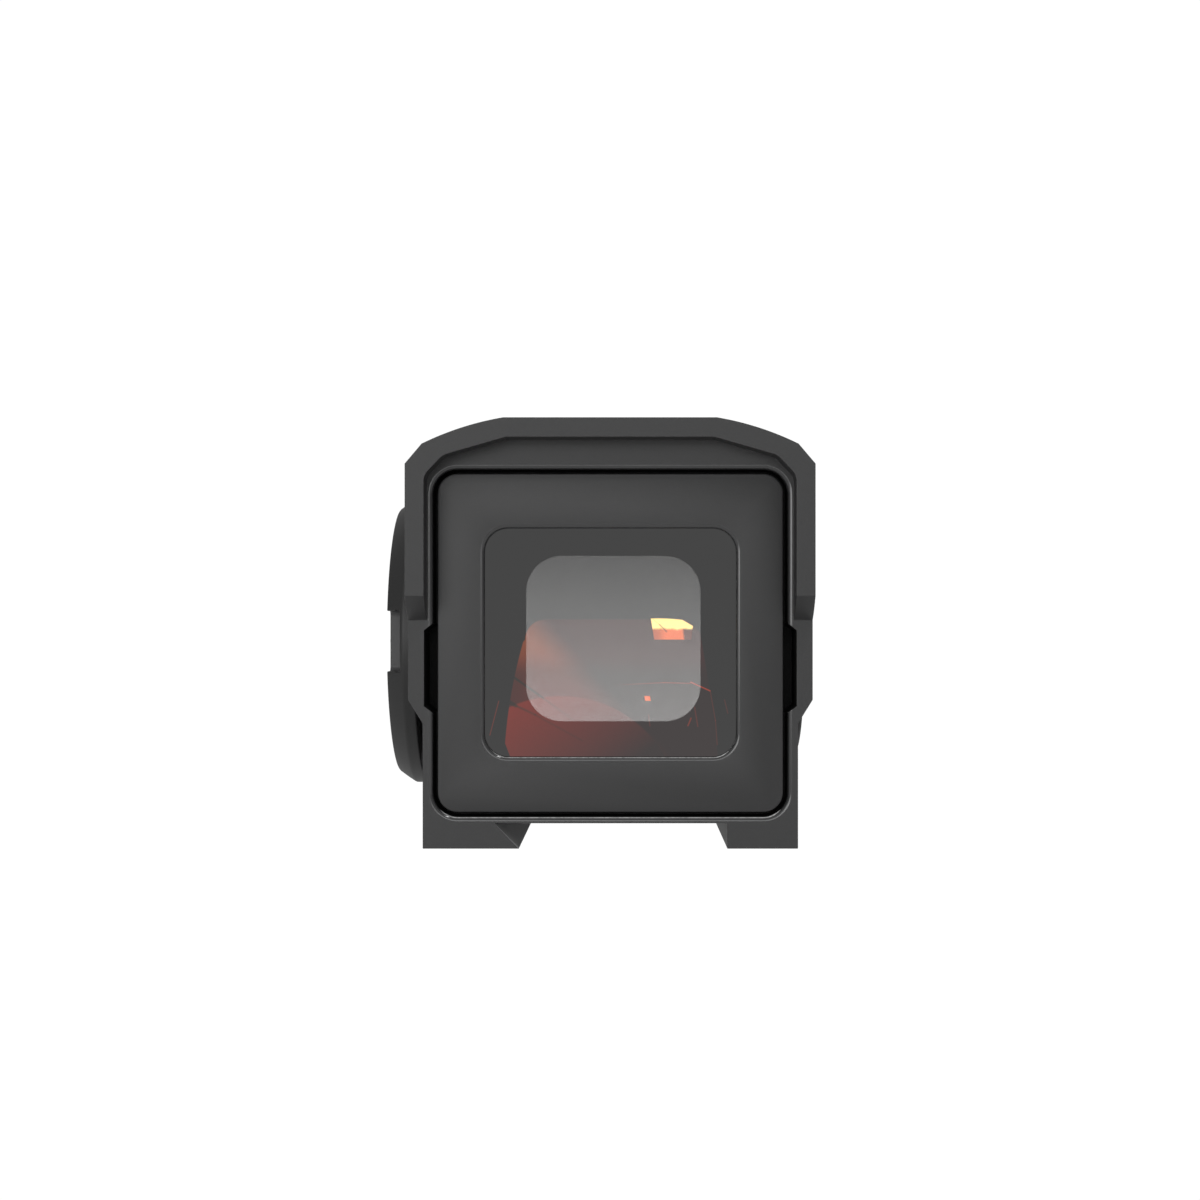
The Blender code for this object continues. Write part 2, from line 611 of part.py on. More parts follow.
def build_dial_fittings():
    retainer = flat_ring("dial_retaining_ring", 9.5, 10.65, 22.55, 22.15, 40)
    cut(retainer, block("ring_gap", (-23.0, -21.5), around(ADJUST_Y, 1.4), (27.0, 30.5), cutters))
    block("dial_wiper", (-21.4, -20.9), (13.15, 13.85), (17.4, 19.4), origin=DIAL_CENTRE)
    flat_ring("switch_ring", 10.1, 10.9, 20.75, 20.3, 48)
    bpy.ops.mesh.primitive_uv_sphere_add(segments=12, ring_count=8, radius=0.75 * MM)
    ball = take_primitive("detent_ball")
    ball.location = Vector((-20.8, ADJUST_Y, AXIS_Z + DETENT_R)) * MM


# ---------------------------------------------------------------- battery group
# Turned profiles about the dial's axis, (radius, height towards -X)
CAP_PROFILE = (
    (0.0, 24.05), (10.35, 24.05), (10.6, 23.8), (10.6, 23.35), (8.5, 23.35),
    (8.5, 21.6), (7.6, 21.6), (7.6, 23.0), (0.0, 23.0),
)
BATTERY_PROFILE = (
    (0.0, 20.6), (7.7, 20.6), (8.0, 20.35), (8.0, 17.8),
    (7.6, 17.75), (6.8, 17.75), (6.8, 17.4), (0.0, 17.4),
)
CONTACT_PROFILE = (
    (0.0, 17.15), (2.2, 17.15), (3.0, 16.9), (5.4, 16.9), (5.4, 16.6), (0.0, 16.6),
)


def build_battery_group():
    cap = turned("battery_cap", CAP_PROFILE, 48)
    slot_y, slot_z = around(ADJUST_Y, 0.9), around(AXIS_Z, 7.5)
    cut(cap, block("coin_slot", (-24.6, -23.4), slot_y, slot_z, cutters))
    turned("battery", BATTERY_PROFILE, 40)
    flat_ring("battery_sleeve", 8.2, 8.6, 21.2, 16.6, 40)
    turned("negative_contact", CONTACT_PROFILE, 32)


# ---------------------------------------------------------------- adjusters
def adjuster(name, home, facing, top, under, tip):
    """A flush adjuster: head, stem and tapered tip. Heights run outwards."""
    profile = [
        (0.0, top),
        (HEAD_R - HEAD_CHAMFER, top),
        (HEAD_R, top - HEAD_CHAMFER),
        (HEAD_R, under),
        (STEM_R, under),
        (STEM_R, tip + TIP_TAPER),
        (TIP_R, tip),
        (0.0, tip),
    ]
    return turned(name, profile, 40, home, facing)


def build_adjusters():
    """The elevation screw in the top and the windage screw in the +X side."""
    screw = adjuster("elevation_screw", (0, ADJUST_Y, 0), "+Z", top=40.75, under=39.4, tip=33.95)
    cut(screw, block("elevation_slot", around(0, BLADE_HALF_LENGTH),
                     around(ADJUST_Y, BLADE_HALF_WIDTH), (40.0, 41.5), cutters))
    screw = adjuster("windage_screw", DIAL_CENTRE, "+X", top=20.8, under=19.7, tip=16.3)
    cut(screw, block("windage_slot", (20.1, 21.5), around(ADJUST_Y, BLADE_HALF_LENGTH),
                     around(AXIS_Z, BLADE_HALF_WIDTH), cutters))


# ---------------------------------------------------------------- emitter carriage
# A sheet frame round three sides of the tunnel, (x, z)
CARRIAGE_OUTLINE = (
    (-12.0, 3.7), (15.75, 3.7), (15.75, 32.5), (-4.0, 32.5),
    (-4.0, 31.75), (14.95, 31.75), (14.95, 4.4), (-12.0, 4.4),
)


def build_carriage():
    block("elevation_shoe", around(0, 3.0), around(ADJUST_Y, 3.0), (32.8, 33.5), bevel=0.15)
    carriage = slab("emitter_carriage", CARRIAGE_OUTLINE, (-2.0, 8.0))
    join(carriage, block("carriage_tongue", around(0, 3.6), (-17.5, -1.5), (3.7, 4.4), cutters))
    block("emitter_holder", around(0, 3.0), (-17.0, -12.6), (4.6, 5.8), bevel=0.2)
    block("led_emitter", around(0, 0.5), (-12.45, -12.0), (4.9, 5.7))


# ---------------------------------------------------------------- electronics
# Board screw, (radius, height towards -X): the head is on the inner side of the board
PAN_SCREW_PROFILE = (
    (0.0, -14.35), (0.9, -14.35), (1.2, -14.6), (1.2, -14.95),
    (0.5, -14.95), (0.5, -17.6), (0.0, -17.6),
)
# (x, z)
FLEX_OUTLINE = ((3.7, 5.1), (15.0, 5.1), (15.0, 9.6), (14.82, 9.6), (14.82, 5.28), (3.7, 5.28))
# From the battery well down the -X side, back along it and across to the board, (x, y, z)
LEAD_PATH = (
    (-16.4, ADJUST_Y, AXIS_Z),
    (-15.6, ADJUST_Y, AXIS_Z),
    (-15.25, ADJUST_Y, AXIS_Z - 0.4),
    (-15.25, ADJUST_Y, 6.9),
    (-15.5, ADJUST_Y - 1.2, 5.6),
    (-15.6, -3.0, 5.2),
    (-15.6, -17.6, 4.0),
    (-14.9, -18.6, 3.8),
    (13.9, -18.6, 3.8),
    (14.7, -18.3, 4.6),
    (14.75, -17.8, 10.0),
)


def build_electronics():
    board = block("circuit_board", (15.2, 16.0), BOARD_Y, BOARD_Z)
    for tag, z in zip(("low", "high"), BOARD_SCREW_Z):
        cut(board, rod(f"board_hole_{tag}", "X", (14.8, 16.4), 0.75, (BOARD_SCREW_Y, z), 16))
    block("controller_chip", (14.1, 14.95), (-14.5, -9.5), (15.5, 20.5), bevel=0.15)
    for tag, z in zip(("lower", "upper"), BOARD_SCREW_Z):
        name = f"board_screw_{tag}"
        screw = turned(name, PAN_SCREW_PROFILE, 20, (0, BOARD_SCREW_Y, z))
        slot_y, slot_z = around(BOARD_SCREW_Y, 0.7), around(z, 0.15)
        cut(screw, block(name + "_slot", (13.9, 14.65), slot_y, slot_z, cutters))
    slab("led_flex_cable", FLEX_OUTLINE, (-16.8, -14.4))
    wire("battery_lead", LEAD_PATH, 0.27, resolution=2)


# ---------------------------------------------------------------- clamp
def build_jaw():
    """The movable jaw: its slope mirrors the fixed hook, set out by the open travel."""
    set_out = JAW_TRAVEL + JAW_CLEARANCE
    tip_x, root_x = set_out - HOOK_TIP_X, set_out - HOOK_ROOT_X
    outline = [
        (tip_x, FOOT_Z), (18.9, FOOT_Z), (18.9, 1.8), (18.5, 2.2), (root_x, 2.2), (root_x, 0.0),
    ]
    cut(
        slab("clamp_jaw", outline, (JAW_Y0, JAW_Y1)),
        rod("jaw_bore", "X", (10.0, 20.0), BOLT_R + 0.2, BOLT_AXIS, 24),
        rod("head_seat", "X", (17.3, 19.6), 2.05, BOLT_AXIS, 28),
        rod("spring_seat", "X", (12.5, 15.9), 1.95, BOLT_AXIS, 28),
    )


def build_bolt():
    head_r, head_top, head_under, end = 1.85, 18.9, 17.45, -11.9
    profile = [
        (0.0, head_top),
        (head_r - 0.2, head_top),
        (head_r, head_top - 0.2),
        (head_r, head_under),
        (BOLT_R, head_under),
        (BOLT_R, end + 0.3),
        (BOLT_R - 0.3, end),
        (0.0, end),
    ]
    bolt = turned("clamp_bolt", profile, 28, (0, BOLT_Y, BOLT_Z), "+X")
    cut(bolt, rod("hex_socket", "X", (17.9, 19.6), 1.0, BOLT_AXIS, 6))


def build_lug():
    """The recoil lug and the screw up through it."""
    hole_r, screw_r, screw_low, screw_high = 0.95, 0.75, -2.35, 2.45
    cut(
        block("recoil_lug", around(0, LUG_X), (LUG_Y0, LUG_Y1), (LUG_Z0, LUG_Z1)),
        rod("lug_hole", "Z", (-3.0, 2.0), hole_r, LUG_AXIS, 20),
        rod("lug_head_seat", "Z", (-2.9, -1.2), hole_r, LUG_AXIS, 20),
    )
    profile = [(0.0, screw_high), (screw_r, screw_high), (screw_r, screw_low), (0.0, screw_low)]
    screw = turned("lug_screw", profile, 20, (*LUG_AXIS, 0), "+Z")
    blade_y = around(LUG_AXIS[1], 0.12)
    cut(screw, block("lug_blade", around(0, 0.6), blade_y, (-2.8, -2.0), cutters))


# ---------------------------------------------------------------- surfaces
def make_material(name, colour, roughness, metallic, alpha=1.0):
    mat = bpy.data.materials.new(name)
    mat.use_nodes = True
    inputs = mat.node_tree.nodes["Principled BSDF"].inputs
    inputs["Base Color"].default_value = (*colour, 1.0)
    inputs["Roughness"].default_value = roughness
    inputs["Metallic"].default_value = metallic
    inputs["Alpha"].default_value = alpha
    return mat


def finish_pieces():
    """Give each piece its material, and smooth shading with sharp edges to the meshes."""
    for piece, finish in FINISHES.items():
        bpy.data.objects[piece].data.materials.append(make_material(*finish))
    for obj in parts.objects:
        if obj.type == "MESH" and obj.data.polygons:
            obj.data.shade_smooth()
            obj.data.set_sharp_from_angle(angle=math.radians(30))


build_housing()
build_rear_window()
build_front_lens()
build_dial()
build_dial_fittings()
build_battery_group()
build_adjusters()
build_carriage()
build_electronics()
build_jaw()
build_bolt()
build_lug()
for ring_row in ORINGS:
    oring(*ring_row)
for spring_row in SPRINGS:
    coil(*spring_row)
finish_pieces()
bpy.context.view_layer.update()
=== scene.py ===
"""An enclosed red dot finder: detailed meshes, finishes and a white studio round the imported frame.

X runs across, Y from the eye end to the target end, and Z up. Seen from the eye end, +X is the
right. Lengths are millimetres in the frame's own axes, and become metres when a piece is finished.
The dial and battery cap are on the left, the windage screw on the right, the clamp underneath.
"""

import math

import bmesh
import bpy
from mathutils import Matrix, Vector

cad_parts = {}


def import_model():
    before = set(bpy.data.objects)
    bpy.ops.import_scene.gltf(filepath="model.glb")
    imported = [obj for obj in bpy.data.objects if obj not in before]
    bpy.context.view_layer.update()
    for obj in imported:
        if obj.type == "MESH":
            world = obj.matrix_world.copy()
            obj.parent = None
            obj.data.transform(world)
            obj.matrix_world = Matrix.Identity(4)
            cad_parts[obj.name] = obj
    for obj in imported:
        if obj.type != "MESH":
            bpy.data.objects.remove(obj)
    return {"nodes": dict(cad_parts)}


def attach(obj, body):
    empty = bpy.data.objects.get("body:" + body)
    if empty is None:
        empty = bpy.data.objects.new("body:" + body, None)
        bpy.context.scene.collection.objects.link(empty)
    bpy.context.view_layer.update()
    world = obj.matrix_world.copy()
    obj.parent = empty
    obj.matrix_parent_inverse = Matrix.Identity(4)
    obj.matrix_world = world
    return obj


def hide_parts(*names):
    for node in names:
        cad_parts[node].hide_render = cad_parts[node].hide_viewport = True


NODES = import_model()["nodes"]
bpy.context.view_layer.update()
scene = bpy.context.scene

MM = 0.001  # metres in a millimetre

# Housing
HALF_WIDTH, FOOT_HALF_WIDTH = 20.56, 19.07
REAR, FRONT, HOOD_REACH = -23.0, 23.0, 3.0  # end faces, and how far the hoods pass them
TOP_Z, SHOULDER_Z, FOOT_Z = 40.93, 36.3, -2.58
HOOD_Z, HOOD_RISE = 20.64, 2.4  # foot of each hood, and its climb to the tip
SIDE_FACE = 21.0  # face of the right boss

# Axes: the dial, cap and windage screw turn about X, the elevation screw about Z
AXIS_Y, AXIS_Z = 3.0, 18.4
CENTRE = (0, AXIS_Y, AXIS_Z)
TOP_HOME = (0, AXIS_Y, 0)

# Dial
CLICKS = 12
CLICK_ANGLE = 360 / CLICKS
DETENT_RADIUS = 12.05
DIAL_MARK_X = -24.12
MARK_HEIGHT = 0.03  # thickness of the filled marks

# Clamp
BOLT_Y = 8.0
BOLT_HOME = (0, BOLT_Y, -0.2)
LUG_Y = 16.8

# Rounded rectangles: x low, x high, z low, z high, corner radius
END_POCKET = (-18.05, 18.05, 0.63, 35.96, 2.5)
END_PLATE = (-17.54, 17.54, 1.15, 35.5, 2.0)
REAR_HOLE = (-12.82, 12.82, 6.72, 30.0, 2.4)
GLASS_SEAT = (-14.2, 14.2, 5.3, 31.4, 1.5)
REAR_PANE = (-13.95, 13.95, 5.55, 31.15, 1.3)
FRONT_HOLE = (-10.89, 10.89, 8.09, 28.74, 4.45)
FLARE_INNER = (-12.3, 12.3, 6.7, 30.1, 4.0)
FLARE_MIDDLE = (-12.6, 12.6, 6.4, 30.4, 4.0)
FLARE_OUTER = (-12.9, 12.9, 6.1, 30.7, 4.3)
LENS_EDGE = (-16.9, 16.9, 2.7, 33.3, 1.3)
FILM_EDGE = (-16.2, 16.2, 3.3, 33.1, 1.2)
TUNNEL = (-16.3, 16.3, 3.2, 33.2, 0.3)
LENS_POCKET = (-17.2, 17.2, 2.4, 33.6, 1.6)


# ================================================================ outlines
def span(middle, half):
    return middle - half, middle + half


def rectangle(x_low, x_high, y_low, y_high):
    return [(x_low, y_low), (x_high, y_low), (x_high, y_high), (x_low, y_high)]


def mirrored(points):
    """The same outline on the other side, run backwards."""
    return [(-x, z) for x, z in reversed(points)]


def rounded(x_low, x_high, z_low, z_high, radius, steps):
    points = []
    for x, z, start in (
        (x_high - radius, z_low + radius, -90),
        (x_high - radius, z_high - radius, 0),
        (x_low + radius, z_high - radius, 90),
        (x_low + radius, z_low + radius, 180),
    ):
        for i in range(steps + 1):
            angle = math.radians(start + 90 * i / steps)
            points.append((x + radius * math.cos(angle), z + radius * math.sin(angle)))
    return points


def grown(size, by, steps):
    """A rounded rectangle pushed out on every side."""
    x_low, x_high, z_low, z_high, radius = size
    return rounded(x_low - by, x_high + by, z_low - by, z_high + by, max(radius + by, 0.05), steps)


def arc_through(first, middle, last, steps):
    (ax, ay), (bx, by), (cx, cy) = first, middle, last
    a_square, b_square, c_square = ax**2 + ay**2, bx**2 + by**2, cx**2 + cy**2
    scale = 2 * (ax * (by - cy) + bx * (cy - ay) + cx * (ay - by))
    x = (a_square * (by - cy) + b_square * (cy - ay) + c_square * (ay - by)) / scale
    y = (a_square * (cx - bx) + b_square * (ax - cx) + c_square * (bx - ax)) / scale
    radius = math.hypot(ax - x, ay - y)
    start, end = math.atan2(ay - y, ax - x), math.atan2(cy - y, cx - x)
    angles = [start + (end - start) * i / steps for i in range(steps + 1)]
    return [(x + radius * math.cos(angle), y + radius * math.sin(angle)) for angle in angles]


def eased(points, radii, steps):
    """A closed outline with its corners rounded. A radius of 0 keeps a corner sharp."""
    outline = []
    for i, wanted in enumerate(radii):
        corner = Vector(points[i])
        if not wanted:
            outline.append(tuple(corner))
            continue
        back = Vector(points[i - 1]) - corner
        ahead = Vector(points[(i + 1) % len(points)]) - corner
        half = back.angle(ahead) / 2
        reach = min(wanted / math.tan(half), back.length * 0.49, ahead.length * 0.49)
        radius = reach * math.tan(half)
        start = corner + back.normalized() * reach
        end = corner + ahead.normalized() * reach
        inward = (back.normalized() + ahead.normalized()).normalized()
        centre = corner + inward * (radius / math.sin(half))
        arm, last_arm = start - centre, end - centre
        turn = arm.angle(last_arm)
        sign = 1 if arm.x * last_arm.y - arm.y * last_arm.x > 0 else -1
        for k in range(steps + 1):
            angle = sign * turn * k / steps
            outline.append(
                (
                    centre.x + arm.x * math.cos(angle) - arm.y * math.sin(angle),
                    centre.y + arm.x * math.sin(angle) + arm.y * math.cos(angle),
                )
            )
    return outline


# ================================================================ solids
def keep(bm, name="blank"):
    mesh = bpy.data.meshes.new(name)
    bm.to_mesh(mesh)
    bm.free()
    obj = bpy.data.objects.new(name, mesh)
    scene.collection.objects.link(obj)
    return obj


def solid(bm):
    bmesh.ops.recalc_face_normals(bm, faces=bm.faces)
    return keep(bm)


def bridge(bm, low, high):
    """Faces between two rings, either of which may be a single point."""
    count = max(len(low), len(high))
    for i in range(count):
        j = (i + 1) % count
        if len(low) == 1:
            bm.faces.new((low[0], high[j], high[i]))
        elif len(high) == 1:
            bm.faces.new((low[i], low[j], high[0]))
        else:
            bm.faces.new((low[i], low[j], high[j], high[i]))


def place(along, first, second, level):
    if along == "Y":
        return (first, level, second)
    if along == "X":
        return (level, first, second)
    return (first, second, level)


def loft(rings, along="Y"):
    """Skin over rings of (level, outline), closed at both ends."""
    bm = bmesh.new()
    rows = [[bm.verts.new(place(along, *point, level)) for point in points] for level, points in rings]
    for low, high in zip(rows, rows[1:]):
        bridge(bm, low, high)
    bm.faces.new(rows[0])
    bm.faces.new(list(reversed(rows[-1])))
    return solid(bm)


def prism(points, along, low, high):
    return loft([(low, points), (high, points)], along)


def box(x_low, x_high, y_low, y_high, z_low, z_high):
    return prism(rectangle(x_low, x_high, y_low, y_high), "Z", z_low, z_high)


# Two directions across the face, and the one it looks along
FACING = {
    "+Z": ((1, 0, 0), (0, 1, 0), (0, 0, 1)),
    "-X": ((0, 1, 0), (0, 0, 1), (-1, 0, 0)),
    "+X": ((0, 1, 0), (0, 0, 1), (1, 0, 0)),
}


def face_axes(facing):
    return [Vector(axis) for axis in FACING[facing]]


def turned(profile, home, facing, steps, ring=False, phase=0.0, wave=None):
    """A turned piece from (radius, height) points. Heights run the way the piece faces.
    wave(radius, angle) may change a radius, for knurling."""
    side, up, out = face_axes(facing)
    home = Vector(home)
    bm = bmesh.new()
    rows = []
    for radius, height in profile:
        if radius < 1e-6:
            rows.append([bm.verts.new(home + out * height)])
            continue
        row = []
        for i in range(steps):
            angle = 2 * math.pi * i / steps + phase
            reach = wave(radius, angle) if wave else radius
            spoke = side * math.cos(angle) + up * math.sin(angle)
            row.append(bm.verts.new(home + spoke * reach + out * height))
        rows.append(row)
    pairs = list(zip(rows, rows[1:]))
    if ring:
        pairs.append((rows[-1], rows[0]))
    for low, high in pairs:
        bridge(bm, low, high)
    return solid(bm)


def knurl(count, depth, beyond, power=1):
    """Grooves round every radius greater than beyond."""

    def wave(radius, angle):
        if radius <= beyond:
            return radius
        return radius - depth * (0.5 - 0.5 * math.cos(count * angle)) ** power

    return wave


def rod(facing, home, start, end, radius, steps, phase=0.0):
    profile = [(0, start), (radius, start), (radius, end), (0, end)]
    return turned(profile, home, facing, steps, phase=phase)


def opening(size, face, inward, depth, lip, steps=14, lip_steps=6, beyond=0.8):
    """Cutter for a rounded-rectangle opening whose rim is eased with radius lip. inward is +1 or
    -1 along Y, from the face into the metal."""
    rings = [(face - inward * beyond, grown(size, lip + 0.001, steps))]
    for i in range(lip_steps + 1):
        angle = math.pi / 2 * i / lip_steps
        level = face + inward * lip * (1 - math.cos(angle))
        rings.append((level, grown(size, lip * (1 - math.sin(angle)), steps)))
    rings.append((face + inward * depth, grown(size, 0.0, steps)))
    return loft(rings)


def group(*objs):
    """Several separate pieces as one mesh, so one Boolean does them all."""
    bm = bmesh.new()
    for obj in objs:
        bm.from_mesh(obj.data)
        bpy.data.objects.remove(obj, do_unlink=True)
    return keep(bm)


ADD, CUT = "UNION", "DIFFERENCE"


def carve(target, *steps):
    """Applies (operation, tool) steps one after another, and removes the tools."""
    for operation, tool in steps:
        modifier = target.modifiers.new(operation, "BOOLEAN")
        modifier.operation = operation
        modifier.solver = "EXACT"
        modifier.object = tool
    bpy.context.view_layer.update()
    graph = bpy.context.evaluated_depsgraph_get()
    mesh = bpy.data.meshes.new_from_object(target.evaluated_get(graph))
    target.modifiers.clear()
    target.data = mesh
    for _, tool in steps:
        bpy.data.objects.remove(tool, do_unlink=True)


def break_edges(bm, width, angle):
    """Bevels every edge that turns by more than the angle in degrees."""
    bmesh.ops.dissolve_limit(
        bm, angle_limit=math.radians(0.05), verts=bm.verts, edges=bm.edges,
        use_dissolve_boundaries=False,
    )
    least = math.radians(angle)
    picked = [e for e in bm.edges if len(e.link_faces) == 2 and e.calc_face_angle(0) > least]
    bmesh.ops.bevel(
        bm, geom=picked, offset=width, offset_type="OFFSET", segments=2, profile=0.5,
        affect="EDGES", clamp_overlap=False, material=-1,
    )
    bmesh.ops.remove_doubles(bm, verts=bm.verts, dist=1e-4)


def complete(obj, name, body, material, replaced=None, edge=0.0, angle=0.0, extra=()):
    """Cleans the mesh, breaks its edges, brings it to metres, and rides it on its body. extra
    gives (material, test) pairs, where test(centre in mm, normal) picks the faces that wear it."""
    bm = bmesh.new()
    bm.from_mesh(obj.data)
    bmesh.ops.remove_doubles(bm, verts=bm.verts, dist=2e-4)
    bmesh.ops.dissolve_degenerate(bm, edges=bm.edges, dist=1e-4)
    if edge:
        break_edges(bm, edge, angle)
    bmesh.ops.recalc_face_normals(bm, faces=bm.faces)
    bmesh.ops.scale(bm, vec=(MM, MM, MM), verts=bm.verts)
    mesh = bpy.data.meshes.new(name)
    bm.to_mesh(mesh)
    bm.free()
    mesh.shade_smooth()
    mesh.set_sharp_from_angle(angle=math.radians(32))
    bpy.data.objects.remove(obj, do_unlink=True)
    made = bpy.data.objects.new(name, mesh)
    scene.collection.objects.link(made)
    mesh.materials.append(material)
    for i, (other, test) in enumerate(extra, 1):
        mesh.materials.append(other)
        for face in mesh.polygons:
            if test(face.center / MM, face.normal):
                face.material_index = i
    if edge:
        even = made.modifiers.new("even_normals", "WEIGHTED_NORMAL")
        even.keep_sharp = True
    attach(made, body)
    if replaced:
        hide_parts(replaced)


# ================================================================ node tools
class Value:
    """A number inside a node tree that can be used in arithmetic."""

    def __init__(self, tree, socket):
        self.tree, self.socket = tree, socket

    def math(self, operation, *others, clamp=False):
        numbers = enumerate((self, *others))
        node = add_node(self.tree, "Math", numbers, operation=operation, use_clamp=clamp)
        return Value(self.tree, node.outputs[0])

    def __add__(self, other):
        return self.math("ADD", other)

    def __sub__(self, other):
        return self.math("SUBTRACT", other)

    def __rsub__(self, other):
        return (self * -1.0) + other

    def __mul__(self, other):
        return self.math("MULTIPLY", other)

    def __pow__(self, other):
        return self.math("POWER", other)

    __radd__, __rmul__ = __add__, __mul__

    def abs(self):
        return self.math("ABSOLUTE")

    def sqrt(self):
        return self.math("SQRT")

    def least(self, other):
        return self.math("MINIMUM", other)

    def most(self, other):
        return self.math("MAXIMUM", other)

    def clamp(self):
        return self.math("ADD", 0.0, clamp=True)

    def ramp(self, zero_at, one_at):
        """A smooth step from 0 to 1."""
        node = add_node(
            self.tree, "MapRange", {0: self, 1: zero_at, 2: one_at}, interpolation_type="SMOOTHSTEP"
        )
        return Value(self.tree, node.outputs[0])


def feed(tree, socket, item):
    """Links a Value or a socket, or sets a plain number, vector or colour."""
    if isinstance(item, Value):
        item = item.socket
    if isinstance(item, bpy.types.NodeSocket):
        tree.links.new(item, socket)
    else:
        socket.default_value = item


def add_node(tree, kind, inputs=(), **settings):
    """A shader node with its settings, and its inputs by name or number."""
    node = tree.nodes.new("ShaderNode" + kind)
    for key, setting in settings.items():
        setattr(node, key, setting)
    for key, item in dict(inputs).items():
        feed(tree, node.inputs[key], item)
    return node


def fresh(name):
    mat = bpy.data.materials.new(name)
    mat.use_nodes = True
    tree = mat.node_tree
    tree.nodes.clear()
    return mat, tree, add_node(tree, "OutputMaterial")


def principled(tree):
    return next(node for node in tree.nodes if node.type == "BSDF_PRINCIPLED")


def place_mm(tree):
    """The point's place in millimetres, as a socket."""
    where = add_node(tree, "TexCoord").outputs["Object"]
    return add_node(tree, "Mapping", {"Vector": where, "Scale": (1000, 1000, 1000)}).outputs[0]


def split_xyz(tree, vector):
    node = add_node(tree, "SeparateXYZ", {0: vector})
    return [Value(tree, socket) for socket in node.outputs]


def join_xyz(tree, values):
    return add_node(tree, "CombineXYZ", enumerate(values)).outputs[0]


def dot(tree, first, second):
    node = add_node(tree, "VectorMath", {0: first, 1: second}, operation="DOT_PRODUCT")
    return Value(tree, node.outputs["Value"])


def noise(tree, vector, scale, detail, roughness, stretch=None):
    if stretch:
        vector = add_node(tree, "Mapping", {"Vector": vector, "Scale": stretch}).outputs[0]
    inputs = {"Vector": vector, "Scale": scale, "Detail": detail, "Roughness": roughness}
    return Value(tree, add_node(tree, "TexNoise", inputs).outputs[0])


def blend_colour(tree, factor, first, second):
    """Mixes two colours, each an RGB tuple or a socket."""
    first, second = ((*c, 1.0) if isinstance(c, tuple) else c for c in (first, second))
    node = add_node(tree, "Mix", data_type="RGBA")
    for key, item in ((0, factor), (6, first), (7, second)):
        feed(tree, node.inputs[key], item)
    return node.outputs[2]


def mix_shaders(tree, share, first, second):
    inputs = {0: share, 1: first.outputs[0], 2: second.outputs[0]}
    return add_node(tree, "MixShader", inputs)


def finish(
    name, colour, rough, metallic, grain, bump, speckle, patch,
    rough_range=0.05, wear=None, specular=0.5, lines=None, coat=0.0,
):
    """A solid finish: blasted or moulded grain and slow tone patches. wear is the (colour,
    amount) of rubbed edges, and lines stretches the grain into drawn or brushed lines."""
    mat, tree, out = fresh(name)
    shader = add_node(tree, "BsdfPrincipled")
    feed(tree, out.inputs[0], shader.outputs[0])
    mm = place_mm(tree)
    fine = noise(tree, mm, scale=grain, detail=3.0, roughness=0.6)
    finer = noise(tree, mm, scale=grain * 2.7, detail=1.0, roughness=0.5)
    slow = noise(tree, mm, scale=0.13, detail=3.0, roughness=0.55)
    middle = noise(tree, mm, scale=0.9, detail=2.0, roughness=0.5)

    # Each noise swings about 0.5, so the tone swings about 1 and the roughness about rough
    tone = (slow - 0.5) * (2 * patch) + (finer - 0.5) * (2 * speckle) + (middle - 0.5) * patch + 1.0
    base = add_node(tree, "VectorMath", {0: colour, "Scale": tone}, operation="SCALE").outputs[0]
    roughness = (slow - 0.5) * rough_range + (fine - 0.5) * (2 * rough_range) + rough
    if wear:
        # A bevelled normal leaves the true one near an edge, and noise breaks the wear up
        wear_colour, wear_amount = wear
        bevel = add_node(tree, "Bevel", {"Radius": 0.00013}, samples=4)
        normal = add_node(tree, "NewGeometry").outputs["Normal"]
        edge = dot(tree, bevel.outputs[0], normal).ramp(zero_at=0.998, one_at=0.9)
        patchy = noise(tree, mm, scale=1.6, detail=4.0, roughness=0.65)
        worn = edge * patchy.ramp(zero_at=0.42, one_at=0.66) * wear_amount
        base = blend_colour(tree, worn, base, wear_colour)
        roughness = roughness - worn * 0.12  # rubbed metal is smoother
    if lines:
        drawn = noise(tree, mm, scale=3.0, detail=3.0, roughness=0.6, stretch=lines)
        height = drawn * 0.8 + fine * 0.2
    else:
        height = fine * 0.7 + finer * 0.3
    dent = add_node(tree, "Bump", {"Strength": bump, "Distance": 0.00004, "Height": height})
    for key, item in {
        "Base Color": base, "Roughness": roughness, "Metallic": metallic,
        "Specular IOR Level": specular, "Coat Weight": coat, "Normal": dent.outputs[0],
    }.items():
        feed(tree, shader.inputs[key], item)
    return mat


def schlick(tree, straight_on):
    """The share mirrored at each slant, from its value seen straight on."""
    geometry = add_node(tree, "NewGeometry")
    facing = dot(tree, geometry.outputs["Incoming"], geometry.outputs["Normal"]).abs()
    return (1.0 - facing).most(0.0) ** 5.0 * (1.0 - straight_on) + straight_on


